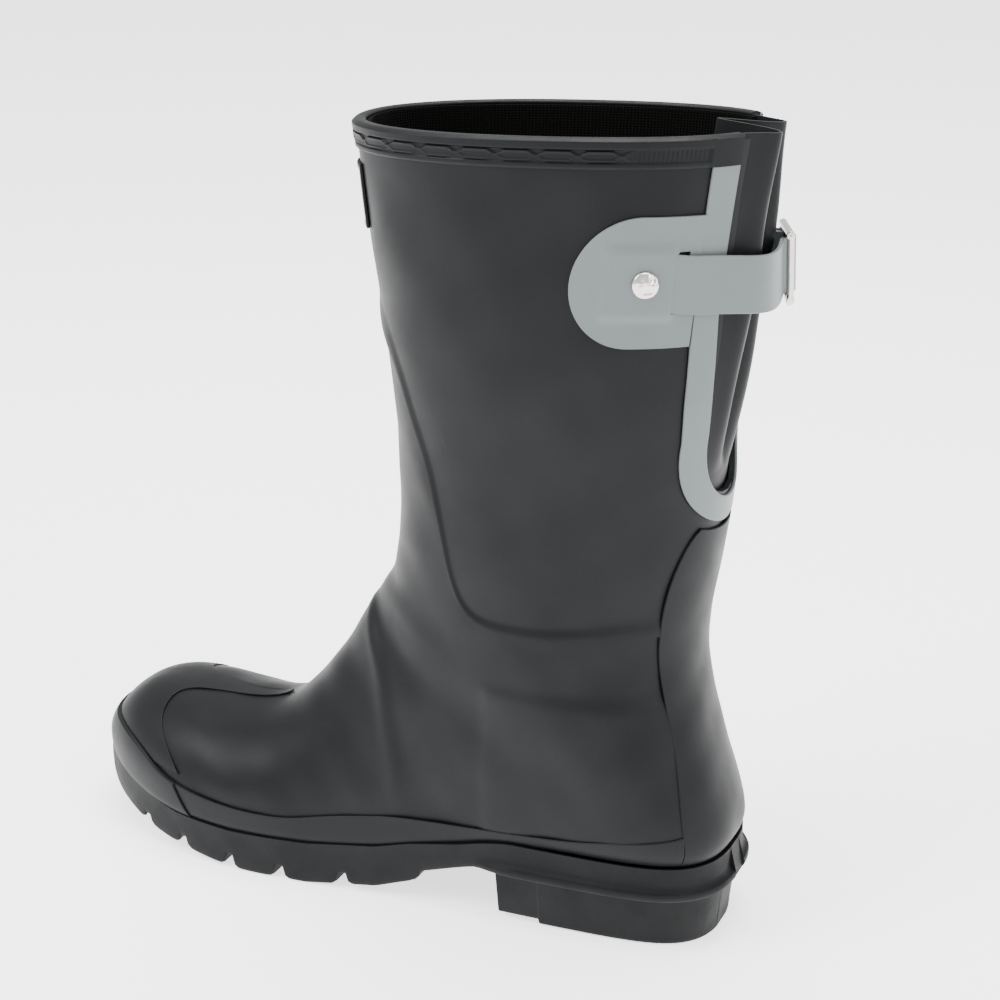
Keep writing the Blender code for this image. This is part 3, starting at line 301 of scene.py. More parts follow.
def solid_between(name, top, bottom, uv, holes=None, smooth_angle=42.0):
    """A solid between two grids of standing points in metres.  Points that meet are
    welded, so a grid may close on itself or shrink to a tip, and cells for which
    holes(row, column) is true are left open."""
    rows, cols = top.shape[:2]
    bm = bmesh.new()
    map_uv = bm.loops.layers.uv.new("cloth")
    numbers, ids, upper, lower, spots = {}, np.zeros((rows, cols), int), [], [], []
    rounded = np.round(top, 6)
    for i in range(rows):
        for j in range(cols):
            key = tuple(rounded[i, j])
            if key not in numbers:
                numbers[key] = len(upper)
                upper.append(bm.verts.new(top[i, j]))
                lower.append(bm.verts.new(bottom[i, j]))
                spots.append(uv[i, j])
            ids[i, j] = numbers[key]

    def face(verts, places):
        made = bm.faces.new(verts)
        for loop, place in zip(made.loops, places):
            loop[map_uv].uv = place

    edges = set()
    for i in range(rows - 1):
        for j in range(cols - 1):
            if holes is not None and holes(i, j):
                continue
            loop, places = [], []
            for p, q in ((i, j), (i, j + 1), (i + 1, j + 1), (i + 1, j)):
                if ids[p, q] not in loop:
                    loop.append(ids[p, q])
                    places.append(uv[p, q])
            if len(loop) < 3:
                continue
            face([upper[k] for k in loop], places)
            face([lower[k] for k in reversed(loop)], places[::-1])
            edges.update(zip(loop, loop[1:] + loop[:1]))
    for p, q in sorted(edges):
        if (q, p) not in edges:
            face([upper[q], upper[p], lower[p], lower[q]], [spots[q], spots[p], spots[p], spots[q]])
    for vert in [v for v in bm.verts if not v.link_faces]:
        bm.verts.remove(vert)
    return settle(name, bm, smooth_angle)


def layer(name, u, t, outer, inner, drop=0.0, holes=None, round_edges=0.35):
    """A panel over the grid of places (u, t), from inner to outer millimetres."""
    u, t = np.broadcast_arrays(np.asarray(u, float), np.asarray(t, float))
    sheets = []
    down = np.maximum(0.0, -grid_at(NORMALS, u, t)[..., 2]) ** 2
    for depth in (outer, inner):
        depth = np.broadcast_to(np.asarray(depth, float), u.shape)
        sheets.append(stand(skin(u, t, depth - drop * down)))
    spot = np.stack([t * half_length(u) * MM, grid_at(SKIN, u, t)[..., 2] * MM], -1)
    obj = solid_between(name, sheets[0], sheets[1], spot, holes)
    if round_edges:
        bevel(obj, round_edges)
    print(name, len(obj.data.polygons), "faces")
    return obj


def show(obj, material, slot, *nodes, body="boot"):
    """Give the finish and stand in for the CAD nodes. The slot argument is not used."""
    obj.data.materials.clear()
    obj.data.materials.append(material)
    if body:
        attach(obj, body)
    if nodes:
        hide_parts(*nodes)
    return obj


# %% [markdown]
# ## Finishes
# Black natural rubber is matte with a soft gloss. It shows a little bloom, a pale
# dusty haze, and very fine mould grain. The grey trim is the same rubber with a
# pigment. Patterns read Object coordinates in metres, so a scale of 900 means
# grain of about a millimetre.

# %% Small helpers for nodes
def new_material(name, colour, roughness, metallic=0.0, sheen=0.0, coat=0.0):
    material = bpy.data.materials.new(name)
    material.use_nodes = True
    shader = material.node_tree.nodes["Principled BSDF"]
    shader.inputs["Base Color"].default_value = (*colour, 1.0)
    shader.inputs["Roughness"].default_value = roughness
    shader.inputs["Metallic"].default_value = metallic
    shader.inputs["Sheen Weight"].default_value = sheen
    shader.inputs["Sheen Roughness"].default_value = 0.45
    shader.inputs["Coat Weight"].default_value = coat
    return material, material.node_tree, shader


def link(tree, a, b):
    tree.links.new(a, b)


def noise(tree, scale, detail=4.0, source="Object", rough=0.55):
    coords = tree.nodes.new("ShaderNodeTexCoord")
    texture = tree.nodes.new("ShaderNodeTexNoise")
    texture.inputs["Scale"].default_value = scale
    texture.inputs["Detail"].default_value = detail
    texture.inputs["Roughness"].default_value = rough
    link(tree, coords.outputs[source], texture.inputs["Vector"])
    return texture.outputs["Fac"]


def ramp(tree, value, low, high, start=0.3, stop=0.7):
    """Map a value between two greys or colours."""
    node = tree.nodes.new("ShaderNodeValToRGB")
    node.color_ramp.elements[0].position = start
    node.color_ramp.elements[1].position = stop
    for element, colour in zip(node.color_ramp.elements, (low, high)):
        element.color = (*colour, 1.0) if isinstance(colour, tuple) else (colour, colour, colour, 1.0)
    link(tree, value, node.inputs["Fac"])
    return node.outputs["Color"]


def bump(tree, shader, heights):
    """Stack bumps: (height socket, strength, distance in metres)."""
    normal = None
    for height, strength, distance in heights:
        node = tree.nodes.new("ShaderNodeBump")
        node.inputs["Strength"].default_value = strength
        node.inputs["Distance"].default_value = distance
        link(tree, height, node.inputs["Height"])
        if normal is not None:
            link(tree, normal, node.inputs["Normal"])
        normal = node.outputs["Normal"]
    link(tree, normal, shader.inputs["Normal"])


# %% Rubber in four kinds
def rubber(name, dark, pale, rough, grain, sheen, gloss):
    material, tree, shader = new_material(name, dark, rough[0], sheen=sheen)
    shader.inputs["Specular IOR Level"].default_value = gloss
    link(tree, ramp(tree, noise(tree, 24.0, 5.0), dark, pale), shader.inputs["Base Color"])
    link(tree, ramp(tree, noise(tree, 60.0, 6.0), rough[0], rough[1]), shader.inputs["Roughness"])
    bump(tree, shader, ((noise(tree, 16.0, 2.0), 0.25, 0.0008),
                        (noise(tree, 1500.0, 3.0), grain, 0.00012)))
    return material


black = rubber("black_rubber", (0.0030, 0.0034, 0.0042), (0.0042, 0.0047, 0.0056),
               (0.40, 0.50), 0.30, 0.0, 0.15)
moulded = rubber("moulded_rubber", (0.0026, 0.0029, 0.0034), (0.0036, 0.0040, 0.0046),
                 (0.38, 0.54), 0.55, 0.0, 0.15)
tread = rubber("tread_rubber", (0.0030, 0.0033, 0.0038), (0.0042, 0.0046, 0.0052),
               (0.50, 0.68), 0.8, 0.0, 0.15)
grey = rubber("grey_rubber", (0.098, 0.116, 0.117), (0.114, 0.132, 0.133), (0.40, 0.50), 0.22, 0.02, 0.4)
print("rubbers made")

# %% Knit, metal and the hidden stiffeners
def knit_material():
    """Rib knit: wales 1.3 mm apart on the sleeve's own UV map, with courses across."""
    material, tree, shader = new_material("knit", (0.002, 0.0018, 0.0016), 0.95)
    shader.inputs["Specular IOR Level"].default_value = 0.08
    coords = tree.nodes.new("ShaderNodeUVMap")
    coords.uv_map = "cloth"
    waves = []
    for direction, scale in (("X", 240.0), ("Y", 330.0)):
        wave = tree.nodes.new("ShaderNodeTexWave")
        wave.bands_direction = direction
        wave.inputs["Scale"].default_value = scale
        wave.inputs["Distortion"].default_value = 1.2
        wave.inputs["Detail Scale"].default_value = 2.0
        link(tree, coords.outputs["UV"], wave.inputs["Vector"])
        waves.append(wave.outputs["Fac"])
    # The ribs' colour follows the same wave as their bump, so the darker valleys between the ribs are painted
    # shade, not a second yarn colour.
    link(tree, ramp(tree, waves[0], (0.0010, 0.0009, 0.0008), (0.0034, 0.0029, 0.0025), 0.1, 0.9),
         shader.inputs["Base Color"])
    bump(tree, shader, ((waves[0], 0.9, 0.0006), (waves[1], 0.5, 0.0003),
                        (noise(tree, 2500.0, 3.0), 0.4, 0.0002)))
    return material


def metal_material(name, colour, rough, dents, scale):
    material, tree, shader = new_material(name, colour, rough, metallic=1.0)
    link(tree, ramp(tree, noise(tree, 700.0, 5.0), rough * 0.8, rough * 1.4), shader.inputs["Roughness"])
    bump(tree, shader, ((noise(tree, scale, 2.0), dents, 0.0005), (noise(tree, 3000.0, 3.0), 0.1, 0.0001)))
    return material


knit = knit_material()
nickel = metal_material("nickel", (0.66, 0.64, 0.60), 0.20, 0.15, 120.0)
hammered = metal_material("hammered_nickel", (0.68, 0.66, 0.62), 0.20, 0.75, 420.0)
steel = metal_material("spring_steel", (0.40, 0.41, 0.43), 0.35, 0.2, 200.0)


def board_material():
    material, tree, shader = new_material("board", (0.30, 0.23, 0.15), 0.85)
    link(tree, ramp(tree, noise(tree, 900.0, 6.0), (0.26, 0.19, 0.12), (0.38, 0.30, 0.21)),
         shader.inputs["Base Color"])
    bump(tree, shader, ((noise(tree, 1800.0, 4.0), 0.4, 0.0002),))
    return material


board = board_material()
print("finishes", len(bpy.data.materials))

# %% [markdown]
# ## Leg panel
# The leg is one sheet of rubber with a U-shaped opening at the back. Its rows run
# round the leg from one side of the opening to the other, and below the opening
# they close. Its lower edge follows the seam, where it overlaps the foot panel a
# little, so the edge stands proud there.

# %% The seam and the rear opening
SEAM_T = (0.0, 0.16, 0.30, 0.48, 0.57, 0.615, 0.65, 0.69, 0.74, 0.80, 0.87, 1.0)
SEAM_U = (4.90, 4.92, 5.08, 5.52, 5.72, 5.62, 5.10, 4.05, 3.10, 2.36, 1.85, 1.55)


def seam(t):
    """u of the seam between the leg panel and the foot panel."""
    return curve(SEAM_T, SEAM_U, np.abs(t))


OPENING_HALF, OPENING_END_Z = 23.0, 186.0


def round_end(z, half=OPENING_HALF, centre=OPENING_END_Z):
    """Half width of an upright slot with a round lower end."""
    low = np.clip(centre - np.asarray(z, float), 0.0, half)
    return np.sqrt(np.maximum(half ** 2 - low ** 2, 0.0))


def side_columns(edge, count):
    """t from the rear edge round the front to the other rear edge."""
    left = edge + (1.0 - edge) * np.linspace(0.0, 1.0, count + 1)
    return np.concatenate([left, -left[-2::-1]])


def leg_rows(top, columns):
    """Grids u and t of the leg."""
    grid_u, grid_t = [], []
    open_z = np.concatenate([np.linspace(top, 200.0, 40), np.linspace(197.5, 164.0, 26)])
    for z in open_z:
        u = ring_at_height(z)
        edge = round_end(z) / half_length(u)
        t = side_columns(edge, columns)
        lean = smooth(-z, -top, -(top - 40.0))
        grid_u.append(u * (seam(t) / seam(0.0)) ** lean)
        grid_t.append(t)
    t = side_columns(0.0, columns)
    first = ring_at_height(163.0) / seam(0.0)
    for share in np.linspace(first, 1.0, 30):
        grid_u.append(share * seam(t))
        grid_t.append(t)
    return np.array(grid_u), np.array(grid_t)


def waves(p, size):
    """Slow, shallow unevenness of hand-laid rubber."""
    x, y, z = (p[..., k] / size for k in range(3))
    return (np.sin(x * 1.7 + z * 2.3 + 0.5) * np.sin(y * 1.9 - z * 1.1 + 1.3)
            + 0.6 * np.sin(y * 3.1 + z * 2.7 + 2.1) * np.sin(x * 2.9 - y * 1.3))


u, t = leg_rows(283.3, 84)
place = grid_at(SKIN, u, t)
to_seam = (seam(t) - u) * 32.0
proud = 0.95 * (1.0 - smooth(to_seam, 1.0, 9.0))
leg_panel = layer("leg_panel_skin", u, t, proud + 0.20 * waves(place, 17.0), -1.7, round_edges=0.2)
show(leg_panel, black, "black_rubber", "leg_panel")

# %% [markdown]
# ## Foot panel
# The foot is a second rubber sheet, closed under the foot. Stiffeners behind it
# show through as faint steps: the heel stiffener's front and top edges, and the
# edge of the reinforcement across the instep. They are moved points, not only bump,
# so they also show in the bare mesh.

# %% Foot panel with the stiffeners showing through
t = np.tile(np.linspace(-1.0, 1.0, 169), (1, 1))
start = seam(t) + 0.012
shares = np.linspace(0.0, 1.0, 30)[:-1, None]
u = np.vstack([start + (9.0 - start) * shares, np.tile(np.linspace(9.0, TIP, 120)[:, None], (1, 169))])
t = np.tile(t, (len(u), 1))
place = grid_at(SKIN, u, t)
px, py, pz = place[..., 0], place[..., 1], place[..., 2]
heel_step = 0.8 * smooth(py, 43.5, 48.0) * (1.0 - smooth(pz, 90.0, 96.5))
instep_y = curve((36.0, 52.0, 69.0, 83.0, 95.0, 115.0), (11.0, 9.0, 4.0, 0.0, -6.0, -16.0), pz)
instep_ridge = 0.8 * np.exp(-((py - instep_y) / 3.2) ** 2) * smooth(pz, 30.0, 45.0)
instep_step = 0.35 * smooth(instep_y - py, -3.0, 5.0) * smooth(py, -40.0, -18.0)
vamp_roll = 0.9 * np.exp(-((py + 22.0) / 9.0) ** 2) * smooth(pz, 62.0, 80.0)
relief = heel_step + instep_ridge + instep_step + vamp_roll + 0.28 * waves(place, 15.0)
foot_panel = layer("foot_panel_skin", u, t, relief * smooth(u - start, 0.0, 0.35), -1.8)
show(foot_panel, black, "black_rubber", "foot_panel")

# %% [markdown]
# ## Lining
# The sock inside is a ribbed knit. It is one sleeve from the rim to the toe, open
# at the back like the leg. The ribs come from its own UV map, which is in metres.

# %% The knitted sleeve
u, t = leg_rows(284.0, 60)
low_t = t[-1]
foot_u = seam(low_t) + (9.0 - seam(low_t)) * np.linspace(0.0, 1.0, 16)[1:-1, None]
u = np.vstack([u, foot_u, np.tile(np.linspace(9.0, TIP, 66)[:, None], (1, len(low_t)))])
t = np.vstack([t, np.tile(low_t, (len(u) - len(t), 1))])
lining = layer("lining_knit", u, t, -3.6, -5.2, drop=2.4, round_edges=0.4)
show(lining, knit, "knit", "lining")

# %% [markdown]
# ## Overlays
# The heel counter, the toe cap and the small front patch are thinner pieces glued
# on top. Each is a layer a little outside the skin with rounded edges.

# %% Heel counter
COUNTER_U = (3.50, 3.70, 4.3, 5.0, 5.9, 7.3, 8.7, 9.9)
COUNTER_T = (0.060, 0.125, 0.160, 0.160, 0.150, 0.148, 0.164, 0.140)
share = np.linspace(-1.0, 1.0, 49)[None, :]
run = np.linspace(0.0, 1.0, 90)[:, None]
first = 3.66 - 0.10 * share ** 2
u = first + (9.75 - first) * run
t = share * curve(COUNTER_U, COUNTER_T, np.clip(3.60 + 6.2 * run, 3.6, 9.8))
counter = layer("heel_counter_strip", u, t, 1.15 + 0.12 * waves(grid_at(SKIN, u, t), 12.0), 0.1)
show(counter, black, "black_rubber", "heel_counter")

# %% Front patch: a raised blank badge with a rounded frame
z = np.linspace(271.0, 249.0, 30)[:, None]
t = np.linspace(0.895, 1.105, 44)[None, :]
u = np.broadcast_to(ring_at_height(z), (30, 44))
in_x = np.minimum(np.arange(44), np.arange(44)[::-1])[None, :]
in_z = np.minimum(np.arange(30), np.arange(30)[::-1])[:, None]
frame_line = smooth(np.minimum(in_x, in_z), 2.0, 4.0)
badge = layer("front_patch_badge", u, t, 1.35 - 0.45 * frame_line, 0.15)
show(badge, moulded, "black_rubber", "front_patch")

# %% [markdown]
# ## Rear opening: trim, band and gusset
# A grey U-shaped strip covers the edge of the opening. It is laid on the skin like
# the other overlays, between an inner and an outer U line.

# %% The grey U trim
def trim_line(places, end_reach, end_z, count=34):
    """A U line: straight sides through (z, reach) places, then an elliptic end."""
    zs, reaches = zip(*places)
    straight_z = np.linspace(zs[0], zs[-1], 30)[:-1]
    straight = np.stack([straight_z, np.interp(-straight_z, -np.array(zs), reaches)], 1)
    turn = np.linspace(0.0, math.pi / 2.0, count)
    bend = np.stack([zs[-1] - (zs[-1] - end_z) * np.sin(turn), reaches[-1] * np.cos(turn) + end_reach], 1)
    left = np.vstack([straight, bend])
    return np.vstack([left, (left * (1.0, -1.0))[-2::-1]])


inner_line = trim_line(((285.3, 26.9), (230.0, 26.6), (205.0, 24.2), (189.0, 22.4)), 0.0, 161.5)
outer_line = trim_line(((285.3, 37.6), (220.0, 36.0), (200.0, 34.4), (187.0, 32.6)), 0.0, 152.2)
share = np.linspace(0.0, 1.0, 9)[:, None, None]
both = inner_line + (outer_line - inner_line) * share
u, t = leg_place(both[..., 0], both[..., 1])
under_band = smooth(both[..., 0], 275.8, 277.0)
trim = layer("gusset_trim_strip", u, t, 1.25 - 0.45 * under_band, 0.1)
show(trim, grey, "grey_rubber", "gusset_trim")

# %% [markdown]
# The rim band is a moulded strip. Its relief is a plain upper bead, a row of long
# chain links, and a thin lower bead. Near the rear the links fade into fine ribs.
# The relief is a height for every point of a dense grid, so the links are real
# geometry.

# %% The chain band round the rim
LINK_LENGTH, LINK_MIDDLE = 13.6, 4.9


def band_relief(s, h):
    """Millimetres proud at s along the rim from the rear and h down from the top."""
    phase = (s % LINK_LENGTH) / LINK_LENGTH - 0.5
    half_tall = 1.55 * np.clip((0.5 - np.abs(phase)) * 5.0, 0.25, 1.0)
    inside = half_tall - np.abs(h - LINK_MIDDLE)
    links = 0.75 * smooth(inside, -0.25, 0.15) - 0.25 * smooth(inside, 0.35, 0.75)
    plain = smooth(np.abs(s), 27.0, 29.0) * (1.0 - smooth(np.abs(s), 62.0, 72.0))
    ribs = 0.12 * np.sin(s * 2.0 * math.pi / 1.5) * plain
    top_bead = 0.75 * smooth(h, 0.0, 0.6) * (1.0 - smooth(h, 2.6, 3.1))
    low_bead = 0.45 * smooth(h, 6.9, 7.3) * (1.0 - smooth(h, 8.4, 8.9))
    end_block = 1.0 - smooth(np.abs(s), 38.5, 39.5)
    pattern = links * (1.0 - plain) + ribs * smooth(h, 3.0, 3.4) * (1.0 - smooth(h, 6.4, 6.8))
    return (top_bead + low_bead + pattern) * (1.0 - end_block) + 0.62 * end_block


rim_half = float(half_length(0.0))
s = np.linspace(27.4, rim_half, 430)
s = np.concatenate([s, -s[-2::-1]])
h = np.linspace(0.3, 9.0, 34)
grid_s, grid_h = np.meshgrid(s, h)
u, t = leg_place(285.0 - grid_h, grid_s * half_length(ring_at_height(285.0 - grid_h)) / rim_half)
outer = stand(skin(u, t, 0.75 + band_relief(grid_s, grid_h)))
profile_in = stand(skin(u, t, 0.25))
roll = np.linspace(0.0, math.pi, 9)
rolled = []
for angle in roll[1:]:
    out = -1.40 + 2.15 * math.cos(angle)
    lift = 0.95 * math.sin(angle) if angle < math.pi - 0.01 else 0.0
    ring = skin(np.zeros_like(s), s / rim_half, np.full_like(s, out))
    ring[:, 2] = 284.7 + lift
    rolled.append(stand(ring))
top_sheet = np.concatenate([np.array(rolled)[::-1], outer])
low_ring = []
for k in range(len(rolled)):
    ring = skin(np.zeros_like(s), s / rim_half, np.full_like(s, -3.3 + 3.5 * k / (len(rolled) - 1)))
    ring[:, 2] = 284.0
    low_ring.append(stand(ring))
low_sheet = np.concatenate([np.array(low_ring), profile_in])
spot = np.stack([np.tile(s, (len(top_sheet), 1)) * MM,
                 np.tile(np.arange(len(top_sheet))[:, None] * 0.0003, (1, len(s)))], -1)
band = solid_between("binding_band_chain", top_sheet, low_sheet, spot, smooth_angle=60.0)
show(band, moulded, "black_rubber", "binding_band")
print("band", len(band.data.polygons), "faces")

# %% [markdown]
# The gusset is a thin pleated sheet: two ridges stand out beside a deep valley,
# and the pleats die away towards the closed bottom of the opening.

# %% The pleated gusset
def gusset_points(z, share):
    reach = np.maximum(round_end(z), 6.0)
    inside = np.minimum(np.abs(share), 1.0)
    flange = (np.abs(share) - inside) * 20.0
    u, t = leg_place(z, np.copysign(inside * reach + flange, share))
    rise = np.clip((z - 172.0) / 75.0, 0.0, 1.0) ** 0.8
    ridge = np.exp(-((inside - 0.50) / 0.24) ** 2)
    valley = np.exp(-(inside / 0.22) ** 2)
    edge = 1.0 - inside ** 6
    fold = 0.5 * np.sin(z / 9.0 + share * 3.0) * edge * rise
    return skin(u, t, -2.85 + (1.6 + 5.2 * ridge - 18.0 * valley) * edge * rise + fold)


def thicken(points, thick):
    normals = np.cross(np.gradient(points, axis=1), np.gradient(points, axis=0))
    normals /= np.linalg.norm(normals, axis=2, keepdims=True)
    if normals[..., 1].mean() < 0.0:
        normals = -normals
    return points + normals * thick / 2.0, points - normals * thick / 2.0


z = np.linspace(284.6, 159.0, 110)[:, None]
share = np.linspace(1.34, -1.34, 121)[None, :]
z, share = np.broadcast_arrays(z, share)
front_sheet, back_sheet = thicken(gusset_points(z, share), 1.1)
spot = np.stack([share * 0.023, z * MM], -1)
gusset = solid_between("gusset_pleats", stand(front_sheet), stand(back_sheet), spot, smooth_angle=70.0)
bevel(gusset, 0.3, angle=60.0)
show(gusset, black, "black_rubber", "gusset")

# %% [markdown]
# ## Strap patches
# Each patch is a D-shaped plate with a round end. It rises over the strap's end,
# which is riveted under it, and has an upright slot that the strap comes out of.
# Its grid is bent to the D outline, and the raised rectangle is part of its height.

# %% The two grey patches
STRAP_Z = {1: 240.5, -1: 236.5}
PATCH_HALF = 20.8


def patch(side, name, nodes):
    h = PATCH_HALF * np.sin(np.linspace(-1.0, 1.0, 71) * math.pi / 2.0)
    bulge = 57.0 + np.sqrt(np.maximum(0.0, PATCH_HALF ** 2 - h ** 2)) * 1.02
    inner_part = np.concatenate([np.linspace(36.6, 40.6, 6), np.linspace(41.2, 44.6, 5)])
    share = np.linspace(0.0, 1.0, 46)[1:]
    reach = np.concatenate([np.tile(inner_part, (len(h), 1)),
                            45.0 + (bulge[:, None] - 45.0) * share[None, :]], 1)
    z = np.tile((STRAP_Z[side] + h)[:, None], (1, reach.shape[1]))
    u, t = leg_place(z, reach * side)
    up = np.abs(z - STRAP_Z[side])
    over = smooth(-up, -13.2, -9.4) * smooth(reach, 43.2, 45.6) * (1.0 - smooth(reach, 64.8, 69.2))
    outer = 1.45 + 1.15 * over
    made = layer(name, u, t, outer, 0.1 + 1.15 * over, round_edges=0.0,
                 holes=lambda i, j: abs(0.5 * (h[i] + h[i + 1])) < 10.1 and 5 <= j < 10)
    bevel(made, 0.3)
    return show(made, grey, "grey_rubber", *nodes)


patch(1, "strap_patch_left_plate", ["strap_patch_left"])
patch(-1, "strap_patch_right_plate", ["strap_patch_right"])

# %% [markdown]
# ## Strap, slide and anchor
# The strap is a flat ribbon of grey rubber along one smooth route. It comes out of
# the left patch, crosses the gusset, passes over the slide's middle bar, and ends
# under the anchor. It stands on edge, so its width runs along the leg.

# %% Ribbons
BUCKLE = np.array((-22.0, 132.0, 236.5))
BUCKLE_TURN = math.radians(16.0)
OUTWARD = np.array((-math.sin(BUCKLE_TURN), math.cos(BUCKLE_TURN), 0.0))
ALONG = np.array((-OUTWARD[1], OUTWARD[0], 0.0))
BAR_R, HALF_LONG = 1.35, 10.65
FAR_BAR = BUCKLE + ALONG * HALF_LONG


def over_skin(z, reach, lift):
    u, t = leg_place(z, abs(reach))
    return skin(float(u), float(t) * math.copysign(1.0, reach), lift)


def even_curve(points, count):
    table = np.array(points, float)
    fine = spline_rows(table, np.linspace(0.0, len(table) - 1.0, 24 * len(table)))
    steps = np.concatenate([[0.0], np.cumsum(np.linalg.norm(np.diff(fine, axis=0), axis=1))])
    even = np.linspace(0.0, steps[-1], count)
    return np.stack([np.interp(even, steps, fine[:, k]) for k in range(3)], 1)


def ribbon(name, line, width, thick, rows=9):
    """A strap on edge along a design line, posed like a stiff piece across its width."""
    turn, _ = stiff_turn(FAR_BAR)
    up = turn[:, 2]
    line = stand(line)
    ahead = np.gradient(line, axis=0)
    side = np.cross(up, ahead)
    side /= np.linalg.norm(side, axis=1, keepdims=True)
    across = np.linspace(-0.5, 0.5, rows) * width * MM
    sheets = []
    for half in (thick / 2, -thick / 2):
        sheets.append(line[None] + side[None] * half * MM + up[None, None] * across[:, None, None])
    run = np.concatenate([[0.0], np.cumsum(np.linalg.norm(np.diff(line, axis=0), axis=1))])
    spot = np.stack(np.broadcast_arrays(run[None, :], across[:, None]), -1)
    made = solid_between(name, sheets[0], sheets[1], spot, smooth_angle=55.0)
    bevel(made, 0.28, segments=3, angle=55.0)
    print(name, round(float(run[-1]), 3), "m long")
    return made


left_z, right_z = STRAP_Z[1], STRAP_Z[-1]
route = [over_skin(left_z, reach, 1.3) for reach in (65.0, 61.0, 55.0, 48.0)]
route += [over_skin(left_z - down, reach, lift) for down, reach, lift in
          ((0.1, 46.5, 1.35), (0.3, 43.0, 2.1), (0.7, 38.5, 2.9), (1.2, 31.0, 3.2),
           (2.2, 21.0, 5.4), (3.2, 9.0, 8.3))]
for run, lift in ((-10.7, -3.1), (-5.8, -1.7), (-2.5, 1.5), (0.0, 2.5), (2.5, 1.5), (4.8, -2.0), (7.2, -4.7)):
    route.append(BUCKLE + ALONG * run + OUTWARD * lift)
route += [over_skin(right_z, -30.5, 3.6), over_skin(right_z, -33.0, 3.6)]
strap = ribbon("strap_ribbon", even_curve(route, 190), 19.4, 1.3)
show(strap, grey, "grey_rubber", "strap", body=None)
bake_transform(strap)

toward = FAR_BAR - over_skin(right_z, -42.0, 3.2)
toward /= np.linalg.norm(toward)
face_out = np.array((-toward[1], toward[0], 0.0))
ply, loop_r = 0.90, BAR_R + 0.6 + 0.65
route = [over_skin(right_z, -reach, lift) for reach, lift in
         ((65.0, 1.3), (61.0, 1.3), (55.0, 1.3), (48.0, 1.3), (46.3, 1.35))]
route += [FAR_BAR - toward * run - face_out * lift
          for run, lift in ((9.6, ply), (6.4, ply), (4.2, ply * 1.6))]
for k in range(7):
    angle = math.radians(-112.0 + 224.0 * k / 6)
    route.append(FAR_BAR + (toward * math.cos(angle) + face_out * math.sin(angle)) * loop_r)
route += [FAR_BAR - toward * run + face_out * lift
          for run, lift in ((4.2, ply * 1.6), (6.4, ply), (10.6, ply))]
anchor = ribbon("anchor_ribbon", even_curve(route, 190), 18.0, 1.3)
show(anchor, grey, "grey_rubber", "anchor_loop")

# %% [markdown]
# The slide is one cast piece: two rails and three bars. Rounded bars are laid as
# tubes, joined by a fine voxel remesh, and smoothed, which gives the soft inside
# corners of a casting. Each bar starts as a cylinder primitive.

# %% The cast slide
def cylinder_between(start, stop, radius):
    middle, way = (start + stop) / 2, stop - start
    bpy.ops.mesh.primitive_cylinder_add(vertices=32, radius=radius, depth=way.length, location=middle,
                                        rotation=way.to_track_quat("Z", "Y").to_euler())
    return bpy.context.object


def stiff(local_points, centre):
    """Design points near a stiff piece, stood up without bending."""
    turn, place = stiff_turn(centre)
    return [Vector(place + turn @ ((np.array(p) - centre) * MM)) for p in local_points]


rise = np.array((0.0, 0.0, 12.7 - BAR_R))
span = ALONG * (HALF_LONG + BAR_R * 0.9)
bars = [(BUCKLE + ALONG * run - rise, BUCKLE + ALONG * run + rise, BAR_R)
        for run in (-HALF_LONG, 0.0, HALF_LONG)]
bars += [(BUCKLE - span + rise * up, BUCKLE + span + rise * up, BAR_R * 1.12) for up in (-1, 1)]
deselect()
tubes = []
for start, stop, radius in bars:
    a, b = stiff((start, stop), FAR_BAR)
    tubes.append(cylinder_between(a, b, radius * MM))
deselect()
for tube in tubes:
    tube.select_set(True)
bpy.context.view_layer.objects.active = tubes[0]
bpy.ops.object.join()
slide = bpy.context.object
slide.name = "slide_casting"
bpy.ops.object.transform_apply(location=True, rotation=True, scale=True)
cast = slide.modifiers.new("cast", "REMESH")
cast.mode, cast.voxel_size, cast.use_smooth_shade = "VOXEL", 0.00022, True
soften = slide.modifiers.new("soften", "SMOOTH")
soften.factor, soften.iterations = 0.5, 6
apply_modifiers(slide)
show(slide, nickel, "nickel", "buckle", body="buckle")
print("slide", len(slide.data.polygons), "faces")

# %% [markdown]
# ## Rivets
# The strap's ends are held by dome rivets with a hammered face. A flat UV sphere
# is pressed to a dome, then its front is dented at a few seeded random places.

# %% Hammered dome rivets
RIVET_REACH, DOME_RADIUS, DOME_HEIGHT = 54.0, 4.5 * MM, 2.0 * MM


def rivet_seat(side, z):
    u, t = leg_place(z, RIVET_REACH)
    centre = skin(float(u), float(t) * side, 0.0)
    normal = grid_at(NORMALS, u, t * side)
    return centre, normal / np.linalg.norm(normal)


